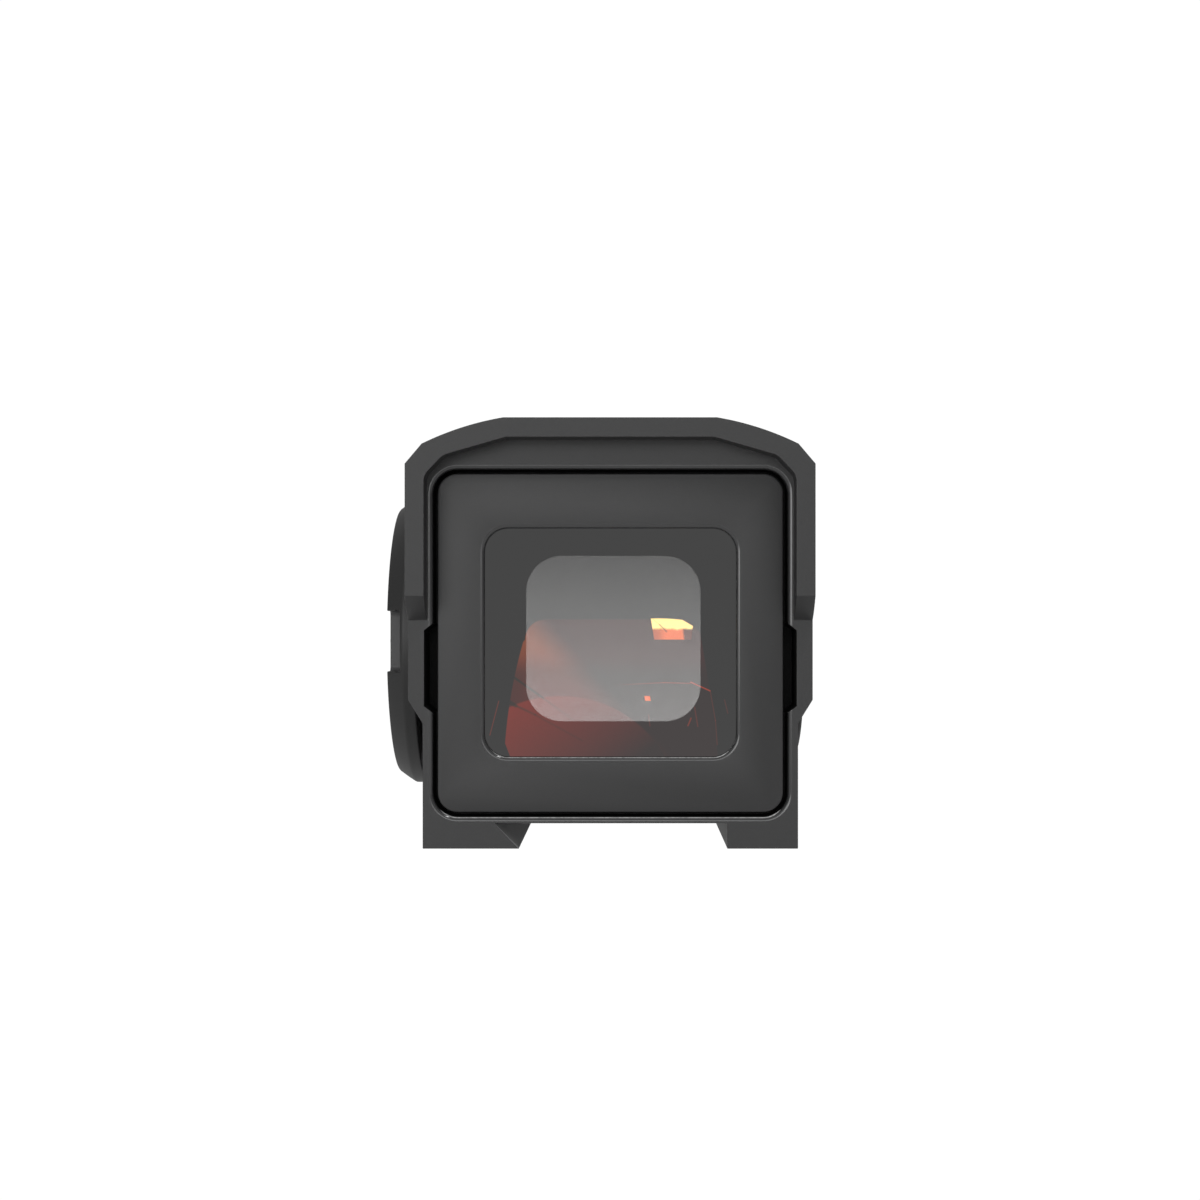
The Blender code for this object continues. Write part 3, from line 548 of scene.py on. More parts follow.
def thin_glass(name, mirrored_share, tint, gloss_tint=(1, 1, 1)):
    """Bloomed optical glass: light goes straight through, and a little is mirrored; from the eye end a
    painted even sheen stands in for the mirror.
    """
    mat, tree, out = fresh(name)
    clear = add_node(tree, "BsdfTransparent", {0: (*tint, 1)})
    haze = noise(tree, place_mm(tree), scale=0.35, detail=3.0, roughness=0.6)
    rough = ((haze - 0.5) * 0.02 + 0.02).most(0.004)
    mirror = add_node(tree, "BsdfGlossy", {"Color": (*gloss_tint, 1), "Roughness": rough})
    # Painted reflection: seen nearly along +Y, an even glow stands in for the mirrored room
    _, toward_y, _ = split_xyz(tree, add_node(tree, "NewGeometry").outputs["Incoming"])
    even = add_node(tree, "Emission", {"Color": (1, 1, 1, 1), "Strength": 1.11})
    from_eye = (toward_y * -1.0).ramp(zero_at=0.9, one_at=0.97)
    back = mix_shaders(tree, from_eye, mirror, even)
    mix = mix_shaders(tree, schlick(tree, mirrored_share), clear, back)
    feed(tree, out.inputs[0], mix.outputs[0])
    return mat


def glowing(name, colour, core, strength):
    mat = finish(
        name, colour, rough=0.2, metallic=0.0, grain=5.0, bump=0.05, speckle=0.03, patch=0.05,
        coat=0.3,
    )
    shader = principled(mat.node_tree)
    shader.inputs["Emission Color"].default_value = (*core, 1)
    shader.inputs["Emission Strength"].default_value = strength
    return mat


def board_finish(name, trace, scale):
    """Green solder mask over tracks, with a glossy uneven coat."""
    mat = finish(
        name, (0.012, 0.08, 0.035), rough=0.35, metallic=0.0, grain=6.0, bump=0.06, speckle=0.05,
        patch=0.08, coat=0.3,
    )
    tree = mat.node_tree
    colour = principled(tree).inputs["Base Color"]
    # The brick pattern is turned to lie on boards that face along X
    turn = {"Vector": place_mm(tree), "Rotation": (0, math.pi / 2, 0)}
    bricks = add_node(tree, "TexBrick", {
        "Vector": add_node(tree, "Mapping", turn).outputs[0],
        "Scale": scale, "Mortar Size": 0.012, "Mortar Smooth": 0.3,
    })
    tracks = Value(tree, bricks.outputs["Fac"]) * 0.8
    feed(tree, colour, blend_colour(tree, tracks, colour.links[0].from_socket, trace))
    return mat


# ================================================================ finishes
GREY = (0.0335, 0.0335, 0.034)
RUBBED = (0.16, 0.16, 0.165)
RUBBED_STEEL = (0.3, 0.3, 0.31)
BARE_STEEL = (0.4, 0.4, 0.41)
BRUSHED = (0.3, 5.0, 0.3)

# Key, name, colour, roughness, metallic, grain scale, bump, speckle, patch, other settings
FINISHES = (
    ("housing", "housing_black", GREY,
     0.5, 0.0, 6.5, 0.16, 0.16, 0.05, dict(wear=(RUBBED, 0.3))),
    ("bezel", "bezel_black", GREY,
     0.48, 0.0, 7.5, 0.14, 0.14, 0.05, dict(wear=(RUBBED, 0.3))),
    # rim: a smoother burnished lip, whose bright line is a painted highlight from glint
    ("rim", "burnished_rim_painted_glint", (0.04, 0.04, 0.041),
     0.13, 0.0, 9.0, 0.05, 0.1, 0.06, dict(rough_range=0.03, specular=0.8)),
    # Painted light: a much lighter copy of the housing black for the clamp's hooked flank
    ("flank", "clamp_flank_painted_light", (0.3, 0.3, 0.303), 0.5, 0.0, 6.5, 0.14, 0.14, 0.06, {}),
    # Painted light: a lighter copy of the dial black for the walls of the finger notches
    ("notch", "dial_notch", (0.066, 0.066, 0.0665), 0.46, 0.0, 8.0, 0.1, 0.12, 0.06, {}),
    # Light-trap black in the tunnel and the window opening, and painted shade in the end-pocket groove
    # and the clip pockets
    ("trap_and_recess_shade", "trap_black_and_recess_shade", (0.014, 0.014, 0.014),
     0.62, 0.0, 6.5, 0.14, 0.12, 0.04, dict(specular=0.15)),
    # Painted light: lighter than the housing black, so the front plate's inner wall seen down the
    # tunnel reads as lit
    ("inner", "bezel_inner_black_painted_light", (0.045, 0.045, 0.046), 0.6, 0.0, 6.5, 0.14, 0.12, 0.04, {}),
    ("dial", "dial_black", (0.024, 0.024, 0.024),
     0.46, 0.0, 8.0, 0.12, 0.12, 0.06, dict(wear=(RUBBED, 0.45))),
    ("cap", "cap_black", (0.031, 0.031, 0.031),
     0.4, 0.0, 8.0, 0.09, 0.1, 0.06, dict(wear=(RUBBED, 0.6))),
    ("adjuster", "adjuster_black", (0.03, 0.03, 0.031),
     0.36, 0.35, 8.0, 0.07, 0.1, 0.06, dict(wear=(RUBBED_STEEL, 0.6))),
    ("jaw", "jaw_black", (0.03, 0.03, 0.0305),
     0.46, 0.2, 5.0, 0.16, 0.14, 0.08, dict(wear=(RUBBED_STEEL, 0.5))),
    ("bolt", "bolt_black_oxide", (0.05, 0.05, 0.052),
     0.34, 0.9, 9.0, 0.06, 0.12, 0.12, dict(wear=(BARE_STEEL, 0.7))),
    ("lug", "lug_steel", (0.09, 0.09, 0.093),
     0.42, 0.9, 7.0, 0.08, 0.1, 0.12, dict(wear=(BARE_STEEL, 0.5))),
    ("rubber", "black_rubber", (0.011, 0.011, 0.0115),
     0.72, 0.0, 9.0, 0.1, 0.12, 0.1, dict(specular=0.35)),
    ("plastic", "black_moulding", (0.014, 0.014, 0.015), 0.5, 0.0, 6.0, 0.1, 0.1, 0.08, {}),
    ("epoxy", "chip_epoxy", (0.012, 0.012, 0.013), 0.42, 0.0, 9.0, 0.08, 0.14, 0.06, {}),
    ("spring", "drawn_spring_steel", (0.46, 0.46, 0.48), 0.26, 1.0, 10.0, 0.05, 0.08, 0.08, {}),
    ("bright", "bright_steel", (0.6, 0.6, 0.61),
     0.22, 1.0, 5.0, 0.05, 0.04, 0.06, dict(lines=(0.3, 6.0, 0.3))),
    ("carriage", "carriage_steel", (0.12, 0.12, 0.125),
     0.42, 1.0, 6.0, 0.08, 0.08, 0.1, dict(lines=(0.4, 5.0, 0.4))),
    ("brass", "shoe_brass", (0.62, 0.42, 0.17),
     0.33, 1.0, 6.0, 0.06, 0.05, 0.1, dict(lines=BRUSHED)),
    ("bronze", "wiper_bronze", (0.6, 0.35, 0.17), 0.3, 1.0, 6.0, 0.06, 0.05, 0.1, {}),
    ("gold", "contact_gold", (0.78, 0.56, 0.24), 0.25, 1.0, 8.0, 0.04, 0.05, 0.06, {}),
    ("lead", "lead_insulation", (0.34, 0.018, 0.014), 0.42, 0.0, 6.0, 0.06, 0.06, 0.08, {}),
    ("flex", "flex_film", (0.42, 0.19, 0.03),
     0.32, 0.0, 5.0, 0.05, 0.06, 0.08, dict(lines=(1.0, 8.0, 1.0), coat=0.3)),
    ("paint", "filled_marks", (0.62, 0.62, 0.6), 0.55, 0.0, 9.0, 0.05, 0.1, 0.08, {}),
)
M = {key: finish(*values, **others) for key, *values, others in FINISHES}
M["board"] = board_finish("board_mask_green", trace=(0.05, 0.2, 0.08), scale=0.22)
M["ring"] = board_finish("switch_ring_mask", trace=(0.65, 0.47, 0.2), scale=0.5)
M["led"] = glowing("led_red", (0.75, 0.06, 0.02), core=(1.0, 0.09, 0.02), strength=4.0)
M["window"] = thin_glass("window_glass", mirrored_share=0.0275, tint=(0.99, 0.99, 0.99))
M["lens"] = thin_glass(
    "lens_glass", mirrored_share=0.006, tint=(0.985, 0.985, 0.98), gloss_tint=(1.0, 0.75, 0.6)
)

# ================================================================ lens coating and its painted reflection
# Painted dark marks in the reflection, on the lower left of the image: start (x, z), end (x, z),
# width, depth
REFLECTION_DARK_MARKS = (
    ((-12.3, 13.75), (-8.6, 11.12), 0.27, 0.92),
    ((-8.6, 11.12), (-5.0, 8.5), 0.16, 0.4),
    ((-12.75, 10.62), (-12.0, 10.2), 0.5, 0.85),
    ((-12.2, 10.3), (-9.6, 9.08), 0.26, 0.6),
    ((-9.6, 9.08), (-3.8, 5.9), 0.24, 0.32),
)
# Painted highlights in the reflection, the fine lit edges of the inner walls: start, end, width,
# strength, whether it fades in
PAINTED_WALL_HIGHLIGHTS = (
    ((-0.1, 12.71), (6.24, 13.03), 0.1, 0.15, True),
    ((6.24, 13.03), (9.45, 12.93), 0.11, 0.16, False),
    ((9.55, 13.08), (11.9, 12.02), 0.14, 0.3, False),
    ((11.95, 11.93), (12.57, 8.37), 0.12, 0.055, False),
    ((12.57, 8.37), (12.79, 5.41), 0.13, 0.05, False),
    ((10.01, 10.0), (10.41, 7.65), 0.14, 0.065, False),
    ((9.58, 8.65), (9.2, 7.74), 0.16, 0.14, False),
    ((4.35, 9.08), (4.53, 7.7), 0.12, 0.06, False),
    ((-14.06, 10.76), (-15.15, 6.58), 0.11, 0.1, False),
    ((13.69, 10.91), (14.09, 9.28), 0.12, 0.05, False),
)


def inside(distance, soft=0.06):
    """1 where the distance is above 0, with a soft border."""
    return distance.ramp(-soft, soft)


def stroke(x, z, start, end, width, soft):
    """1 on the segment and 0 away from it, with the share of the way along it."""
    (start_x, start_z), (end_x, end_z) = start, end
    run_x, run_z = end_x - start_x, end_z - start_z
    scale = 1.0 / (run_x * run_x + run_z * run_z)
    along = (((x - start_x) * run_x + (z - start_z) * run_z) * scale).clamp()
    off_x, off_z = x - (along * run_x + start_x), z - (along * run_z + start_z)
    away = (off_x * off_x + off_z * off_z).sqrt()
    return away.ramp(width / 2 + soft, max(width / 2 - soft, 0.0)), along


def tunnel_field(x, z):
    """Mask of the painted reflection of the tunnel: a tapering field with a bowed top. Each border
    is a distance in mm, positive inside."""
    off = x - 0.2
    top = 21.42 - off * off * 0.0085 - z
    rise = z - 5.75
    left = x - (rise * 0.075 + rise * rise * 0.0085 - 13.27)
    rise = z - 3.95
    right = (12.88 - rise * 0.105 - rise * rise * 0.0026) - x
    # A round of radius 2.52 about x -8.3, z 18.3 at the upper left, and straight corners
    over, beside = (z - 18.3).most(0.0), (-8.3 - x).most(0.0)
    corner_left = (18.3 - z).most(0.0) + 2.52 - (over * over + beside * beside).sqrt()
    corner_right = (x * -0.66 - z * 0.75) + 21.5
    low_left = (x * 0.93 + z * 0.36) + 10.35
    return inside(
        top.least(left).least(right).least(corner_left).least(corner_right).least(low_left)
    )


def tunnel_light(tree, x, z):
    """Red and green of the painted reflection of the tunnel."""
    field = tunnel_field(x, z)
    grain = noise(tree, place_mm(tree), scale=2.2, detail=3.0, roughness=0.6) * 0.2 + 0.9

    # Painted warm glow at the upper left, whose border leans to the right as it goes down
    border = (18.5 - z) * 0.9 - 8.2
    high = z.ramp(14.0, 17.6)
    glow = (border - x).ramp(-2.7, 2.7) * (high * 0.085 + 0.07)
    # It is dimmer in the low part beyond x -9
    glow = glow * (1.0 - (-9.0 - x).ramp(0.0, 3.2) * (1.0 - z.ramp(13.4, 16.4)) * 0.42)
    floor_glow = z.ramp(13.5, 16.5) * 0.017 + 0.008

    # The round of the battery boss: centre x -6.5, z -3.52, radius 14.9
    disc_x, disc_z = x + 6.5, z + 3.52
    disc = inside(14.9 - (disc_x * disc_x + disc_z * disc_z).sqrt(), soft=0.14)
    outside_disc = 1.0 - disc
    red = field * (glow * outside_disc + floor_glow) * grain
    green = field * glow * outside_disc * (z.ramp(11.0, 18.5) * 0.13 + 0.06)

    # Painted light on the lower left of the field, more toward the top and the left
    lit = ((z - 7.19) * 0.009 - x * 0.0069 + 0.052).most(0.0)
    red = red + disc * field * lit * grain
    green = green + disc * field * lit * 0.045

    for start, end, width, depth in REFLECTION_DARK_MARKS:
        mark, along = stroke(x, z, start, end, width, soft=0.1)
        red = red * (1.0 - mark * depth * (1.0 - along * 0.4))
    for start, end, width, strength, fades in PAINTED_WALL_HIGHLIGHTS:
        mark, along = stroke(x, z, start, end, width, soft=0.05)
        if fades:
            mark = mark * along
        red = red + mark * strength
        green = green + mark * (strength * 0.07)
    return red, green


def window_light(tree, x, z):
    """Painted reflection of daylight from the rear window: masks of its hot upper band and its dimmer
    lower part.
    """
    left = x - 4.64 - (20.88 - z) * 0.165
    right = 9.6 + (z - 18.27) * 0.116 - x
    top = 20.92 - (x - 5.5) * (x - 5.5) * 0.02 - z
    bottom = z - 18.32
    corner = 25.7 - x * 0.583 - z
    pane = inside(left.least(right).least(top).least(bottom).least(corner), soft=0.05)
    band = noise(tree, place_mm(tree), scale=1.6, detail=3.0, roughness=0.6)
    speck = noise(tree, place_mm(tree), scale=6.0, detail=2.0, roughness=0.6)
    # The hot band starts at an uneven line, and the lower part dims toward both sides
    hot = (z + (band - 0.5) * 0.5 + (speck - 0.5) * 0.25).ramp(19.45, 19.86)
    uneven_right = 8.62 - x + (speck - 0.5) * 0.3 + (19.3 - z).most(0.0) * 0.12
    dim_right = uneven_right.ramp(-0.12, 0.12) * 0.92 + 0.08
    dim_left = (x + (speck - 0.5) * 0.8).ramp(5.2, 6.7) * 0.45 + 0.55
    # Two dark scratches, end to end
    scratch, _ = stroke(x, z, (4.95, 20.79), (5.71, 20.16), width=0.09, soft=0.06)
    scratch_low, _ = stroke(x, z, (5.71, 20.16), (6.57, 19.3), width=0.15, soft=0.07)
    warm = pane * (1.0 - scratch * 0.3) * (1.0 - scratch_low * 0.68)
    return warm * hot, warm * (1.0 - hot) * dim_right * dim_left


def coating_material():
    """The dichroic film on the hollow side of the lens: a neutral veil, darker at the top, an amber
    mirror from the target end, and from the eye end a painted reflection in glowing colour: the
    dim red image of the tunnel, the light from the rear window and the emitter that its curve throws
    back."""
    mat, tree, out = fresh("lens_coating_painted_reflection")
    x, _, z = split_xyz(tree, place_mm(tree))
    geometry = add_node(tree, "NewGeometry")
    _, toward_y, _ = split_xyz(tree, geometry.outputs["Incoming"])
    _, facing_y, _ = split_xyz(tree, geometry.outputs["True Normal"])
    eye_side = (facing_y * -1.0).ramp(0.4, 0.6)
    outside = 1.0 - Value(tree, geometry.outputs["Backfacing"])
    straight = (toward_y * -1.0).ramp(0.962, 0.985)
    seen = eye_side * outside * straight

    # Veil: the share let through is 0.083 at z 28.1, and grows downward
    down = (28.1 - z).most(0.0)
    level = down * 0.00945 - down * down * 0.00007 + 0.083
    veil = join_xyz(tree, (level, level, level))
    through = blend_colour(tree, eye_side * outside, (1.0, 1.0, 1.0), veil)
    clear = add_node(tree, "BsdfTransparent", {0: through})

    # Painted reflections of the tunnel, then of the window: amber where it is hot, red below
    red, green = tunnel_light(tree, x, z)
    hot, lower = window_light(tree, x, z)
    red = red + hot * 1.4 + lower * 0.8
    green = green + hot * 1.0 + lower * 0.15
    blue = hot * 0.3 + lower * 0.03

    # Painted reflection of the emitter: a slightly leaning block about x 4.23, z 11.08
    off_x, off_z = (x - 4.23 + (z - 11.08) * 0.2).abs(), (z - 11.08).abs()
    emitter = inside((0.34 - off_x).least(0.29 - off_z), soft=0.05)
    red = red + emitter * 0.85
    green = green + emitter * 0.125
    blue = blue + emitter * 0.01

    # The painted reflection is glowing colour, seen only from the eye end
    tint = join_xyz(tree, [channel * seen for channel in (red, green, blue)])
    image = add_node(tree, "Emission", {"Color": tint, "Strength": 1.0})
    mirror = add_node(tree, "BsdfGlossy", {"Color": (1.0, 0.36, 0.12, 1), "Roughness": 0.03})
    # The mirror's share is 0.15 from the target end and 0 from the eye end, and more on a slant
    share = eye_side * -0.15 + 0.15 + schlick(tree, straight_on=0.0) * 0.2
    mixed = mix_shaders(tree, share * outside, clear, mirror)
    added = add_node(tree, "AddShader", {0: mixed.outputs[0], 1: image.outputs[0]})
    feed(tree, out.inputs[0], added.outputs[0])
    return mat


M["coating"] = coating_material()


def glint(mat, strength):
    """Painted highlight: where a burnished lip faces up, seen from the eye end, it glows as if it
    caught the overhead strip.
    """
    tree = mat.node_tree
    geometry = add_node(tree, "NewGeometry")
    normal_x, _, normal_z = split_xyz(tree, geometry.outputs["Normal"])
    _, toward_y, _ = split_xyz(tree, geometry.outputs["Incoming"])
    line = normal_z.ramp(0.66, 0.8) * (1.0 - normal_z.ramp(0.88, 0.97))
    grain = noise(tree, place_mm(tree), scale=3.0, detail=3.0, roughness=0.7)
    uneven = grain.ramp(0.35, 0.65) * 0.5 + 0.5
    from_eye = (toward_y * -1.0).ramp(0.8, 0.95)
    glow = line * uneven * from_eye * (1.0 - normal_x * 0.5) * strength
    inputs = principled(tree).inputs
    inputs["Emission Color"].default_value = (1, 1, 1, 1)
    feed(tree, inputs["Emission Strength"], glow)


# Painted highlight on the lips of the end pocket and the rear window
glint(M["rim"], strength=0.36)

# ================================================================ housing
# (x, z) outlines of the section and of the hoods, which share the crown
crown = arc_through((18.86, 38.3), (15.0, 39.87), (10.7, TOP_Z), steps=20)
right_side = [(HALF_WIDTH, 12.54), (HALF_WIDTH, SHOULDER_Z)] + crown
section = (
    [
        (-FOOT_HALF_WIDTH, FOOT_Z), (-9.28, FOOT_Z), (-11.78, 0.0), (11.87, 0.0),
        (11.87, FOOT_Z), (FOOT_HALF_WIDTH, FOOT_Z), (FOOT_HALF_WIDTH, 10.14),
    ]
    + right_side
    + mirrored(right_side)
    + [(-FOOT_HALF_WIDTH, 10.14)]
)
hood_inner = eased(
    [(18.65, 0.0), (18.65, 35.15), (16.75, 37.15), (10.45, 38.97), (0.0, 38.97)],
    [0, 1.6, 1.9, 1.2, 0],
    steps=8,
)
hood_inner = [(x, max(z, HOOD_Z)) for x, z in hood_inner if x > 0.01]
hood_inner.reverse()
hood_outer = [(HALF_WIDTH, HOOD_Z), (HALF_WIDTH, SHOULDER_Z)] + crown
hood = hood_outer + mirrored(hood_outer) + mirrored(hood_inner) + hood_inner


def hood_slope(end):
    """Cutter for the hollowed slope under a hood. end is -1 at the rear, +1 at the front."""
    face = REAR if end < 0 else FRONT
    tip = face + end * HOOD_REACH
    hollow = []
    for i in range(17):
        t = i / 16
        z = HOOD_Z + HOOD_RISE * t - 0.22 * math.sin(math.pi * t)
        hollow.append((face + (tip - face) * t, z))
    far, under = tip + end * 0.5, HOOD_Z - 1.0
    points = hollow + [(far, HOOD_Z + HOOD_RISE + 0.4), (far, under), (face, under)]
    return prism(points, "X", -22.0, 22.0)


CLIP = [(17.6, 11.2), (18.05, 11.2), (18.93, 11.9), (18.93, 19.6), (18.05, 20.3), (17.6, 20.3)]


def clip_pocket(side, end):
    low, high = (REAR - 0.7, -17.5) if end < 0 else (18.5, FRONT + 0.7)
    return prism([(side * x, z) for x, z in CLIP], "Y", low, high)


# (radius, height) from the middle plane
LEFT_BOSS = [
    (0, 22.9), (9.7, 22.9), (9.7, 22.6), (9.35, 22.6), (9.35, 22.1), (9.7, 22.1), (9.7, 21.85),
    (9.3, 21.85), (9.3, 21.05), (9.7, 21.05), (9.7, 20.8), (12.9, 20.8), (13.0, 20.7),
    (13.0, 17.0), (0, 17.0),
]
RIGHT_BOSS = [(0, SIDE_FACE), (12.8, SIDE_FACE), (13.0, 20.8), (13.0, 17.0), (0, 17.0)]
SWITCH_GROOVE = [(9.95, 21.3), (11.05, 21.3), (11.05, 20.15), (9.95, 20.15)]
WINDAGE_SEAT = [(0, 21.6), (5.55, 21.6), (5.2, 20.85), (5.2, 19.0), (0, 19.0)]
ELEVATION_SEAT = [(0, 41.6), (5.6, 41.6), (5.2, 40.8), (5.2, 38.6), (0, 38.6)]

housing = prism(section, "Y", REAR, FRONT)
hoods = group(
    prism(hood, "Y", REAR - HOOD_REACH, REAR + 0.6),
    prism(hood, "Y", FRONT - 0.6, FRONT + HOOD_REACH),
)
end_pockets = group(
    opening(END_POCKET, REAR, inward=1, depth=3.2, lip=0.42),
    opening(END_POCKET, FRONT, inward=-1, depth=2.4, lip=0.42),
)
small_cuts = group(
    rod("-X", CENTRE, 15.0, 17.0, radius=0.8, steps=32),  # battery lead
    rod("-X", (0, AXIS_Y, AXIS_Z + DETENT_RADIUS), 18.0, 21.2, radius=0.9, steps=32),
    turned(SWITCH_GROOVE, CENTRE, "-X", 132, ring=True, phase=0.015),
    turned(WINDAGE_SEAT, CENTRE, "+X", 120),
    turned(ELEVATION_SEAT, TOP_HOME, "+Z", 120),
    box(11.37, 21.5, *span(BOLT_Y, 7.3), -3.6, 2.5),  # clamp jaw
    box(-7.3, 7.3, *span(LUG_Y, 1.4), -0.5, 1.6),  # recoil lug
    box(-21.4, -20.41, *span(AXIS_Y, 0.18), 35.05, 36.15),  # dial index
)
bores = group(
    rod("+X", CENTRE, 15.0, 19.4, radius=1.85, steps=48),  # windage screw
    rod("+Z", TOP_HOME, 33.0, 39.0, radius=1.85, steps=48),  # elevation screw
    rod("+X", BOLT_HOME, -17.5, 12.4, radius=1.5, steps=48),  # clamp bolt
    rod("+Z", (0, LUG_Y, 0), 1.0, 2.7, radius=0.95, steps=32),  # lug screw
    rod("+Z", (9.0, AXIS_Y, 0), 1.2, 3.6, radius=1.6, steps=48),  # spring
)
# Reliefs across the seat at both ends, and along the hooked left edge
seat_reliefs = group(
    *(box(-9.8, 11.57, *ends, -0.4, 0.3) for ends in ((-21.6, -20.9), (20.9, 21.6)))
)
hook_relief = prism([(-12.1, 0.3), (-9.4, 0.3), (-9.4, -0.2), (-11.6, -0.2)], "Y", -21.6, 21.6)
# Small phases keep the facets of concentric rounds from coinciding
carve(
    housing,
    (ADD, hoods),
    (CUT, group(hood_slope(-1), hood_slope(1))),
    (ADD, turned(LEFT_BOSS, CENTRE, "-X", 160)),
    (ADD, turned(RIGHT_BOSS, CENTRE, "+X", 160, phase=0.01)),
    (CUT, prism(rounded(*TUNNEL, steps=4), "Y", -20.8, 17.5)),
    (CUT, prism(rounded(*LENS_POCKET, steps=6), "Y", 16.9, 20.9)),
    (CUT, end_pockets),
    (CUT, group(*(clip_pocket(side, end) for end in (-1, 1) for side in (-1, 1)))),
    # The boss inside the tunnel, then the battery well
    (ADD, rod("-X", CENTRE, 15.6, 17.4, radius=11.0, steps=120, phase=0.02)),
    (CUT, rod("-X", CENTRE, 16.3, 24.5, radius=8.75, steps=120, phase=0.03)),
    (CUT, small_cuts),
    (CUT, box(-3.4, 3.4, *span(AXIS_Y, 3.4), 32.6, 34.1)),  # elevation shoe
    (CUT, bores),
    (CUT, seat_reliefs),
    (CUT, hook_relief),
)


def turns_from_end(normal):
    """True for faces that neither look along Y nor lie along it."""
    return 0.03 < abs(normal.y) < 0.995


def pocket_rim(at, normal):
    in_rim = REAR < at.y < REAR + 0.43 and abs(at.x) < 18.6 and -0.1 < at.z < 36.6
    return in_rim and turns_from_end(normal)


def tunnel_wall(at, normal):
    if normal.x * at.x + normal.z * (at.z - 18.3) > 0.5:  # looks outward
        return False
    # Painted shade: the walls of the end pocket round the plate and of the clip pockets, recesses
    # behind the rear face, wear the darker black
    if REAR + 0.43 <= at.y < -17.0 and abs(at.x) < 19.4 and 0.2 < at.z < 36.4:
        return True
    return abs(at.x) < 16.9 and 2.3 < at.z < 33.7 and -20.9 < at.y < 20.4


# Faces of the hooked flank that wear the painted light
def hook_flank(at, normal):
    return -12.3 < at.x < -9.2 and at.z < 0.05 and normal.x > 0.5


complete(
    housing, "housing_shell", "body", M["housing"], "housing",
    edge=0.055, angle=30,
    extra=((M["rim"], pocket_rim), (M["trap_and_recess_shade"], tunnel_wall), (M["flank"], hook_flank)),
)

# ================================================================ rear window group
# How the end plates' outer edges are eased: depth below the face, growth
PLATE_EASE = [(0.0, -0.16), (0.05, -0.05), (0.16, 0.0)]

bezel = loft(
    [(REAR + depth, grown(END_PLATE, by, 14)) for depth, by in PLATE_EASE]
    + [(-20.6, grown(END_PLATE, 0.0, 14))]
)
carve(
    bezel,
    (CUT, opening(REAR_HOLE, REAR, inward=1, depth=3.2, lip=0.34)),
    (CUT, prism(rounded(*GLASS_SEAT, steps=6), "Y", -21.9, -20.2)),
)


def window_rim(at, normal):
    in_rim = at.y < REAR + 0.35 and abs(at.x) < 13.2 and 6.3 < at.z < 30.4
    return in_rim and turns_from_end(normal)


def window_wall(at, normal):
    return at.y > REAR + 0.35 and abs(at.x) < 14.3 and 5.2 < at.z < 31.5


complete(
    bezel, "rear_bezel_plate", "body", M["bezel"], "rear_bezel",
    extra=((M["rim"], window_rim), (M["trap_and_recess_shade"], window_wall)),
)

# Y station, growth
PANE_RINGS = [(-21.75, -0.15), (-21.6, 0.0), (-20.9, 0.0), (-20.75, -0.15)]
pane = loft([(y, grown(REAR_PANE, by, 8)) for y, by in PANE_RINGS])
complete(pane, "rear_window_glass", "body", M["window"], "rear_window")

# ================================================================ front lens group
LEDGE_Y = 20.9  # where the front plate steps in to the lens outline
front = loft(
    [(y, rounded(*LENS_EDGE, steps=14)) for y in (20.3, LEDGE_Y)]
    + [(LEDGE_Y, grown(END_PLATE, 0.0, 14))]
    + [(FRONT - depth, grown(END_PLATE, by, 14)) for depth, by in reversed(PLATE_EASE)]
)
# Y station, outline: a straight hole that steps out and flares toward the target end
FLARE = [
    (19.8, FRONT_HOLE), (21.9, FRONT_HOLE), (21.9, FLARE_INNER), (22.75, FLARE_MIDDLE),
    (FRONT, FLARE_OUTER), (FRONT + 1.0, FLARE_OUTER),
]
carve(front, (CUT, loft([(y, rounded(*size, steps=16)) for y, size in FLARE])))
complete(
    front, "front_bezel_plate", "body", M["inner"], "front_bezel",
    extra=((M["trap_and_recess_shade"], lambda at, normal: at.y < 20.6),),
)

LENS_X, LENS_Z = 0.0, 18.0
HOLLOW_Y, HOLLOW_SAG = 18.15, 0.45
CROWN_Y, CROWN_SAG = 20.0, 0.55


def bowed(middle, sag):
    """The Y of a bowed face. It drops by sag where the squared distance out is 520."""
    return lambda x, z: middle - sag * ((x - LENS_X) ** 2 + (z - LENS_Z) ** 2) / 520.0


def dished(outline, near, far, rings=14):
    """A lens-like solid: both faces are skinned in rings from the middle out."""
    bm = bmesh.new()
    count = len(outline)
    rims = []
    for surface in (near, far):
        middle = bm.verts.new((LENS_X, surface(LENS_X, LENS_Z), LENS_Z))
        rows = []
        for k in range(1, rings + 1):
            t = k / rings
            row = []
            for edge_x, edge_z in outline:
                x, z = LENS_X + (edge_x - LENS_X) * t, LENS_Z + (edge_z - LENS_Z) * t
                row.append(bm.verts.new((x, surface(x, z), z)))
            rows.append(row)
        for i in range(count):
            bm.faces.new((middle, rows[0][i], rows[0][(i + 1) % count]))
        for inner, outer in zip(rows, rows[1:]):
            for i in range(count):
                j = (i + 1) % count
                bm.faces.new((inner[i], outer[i], outer[j], inner[j]))
        rims.append(rows[-1])
    near_rim, far_rim = rims
    for i in range(count):
        j = (i + 1) % count
        bm.faces.new((near_rim[i], far_rim[i], far_rim[j], near_rim[j]))
    return solid(bm)


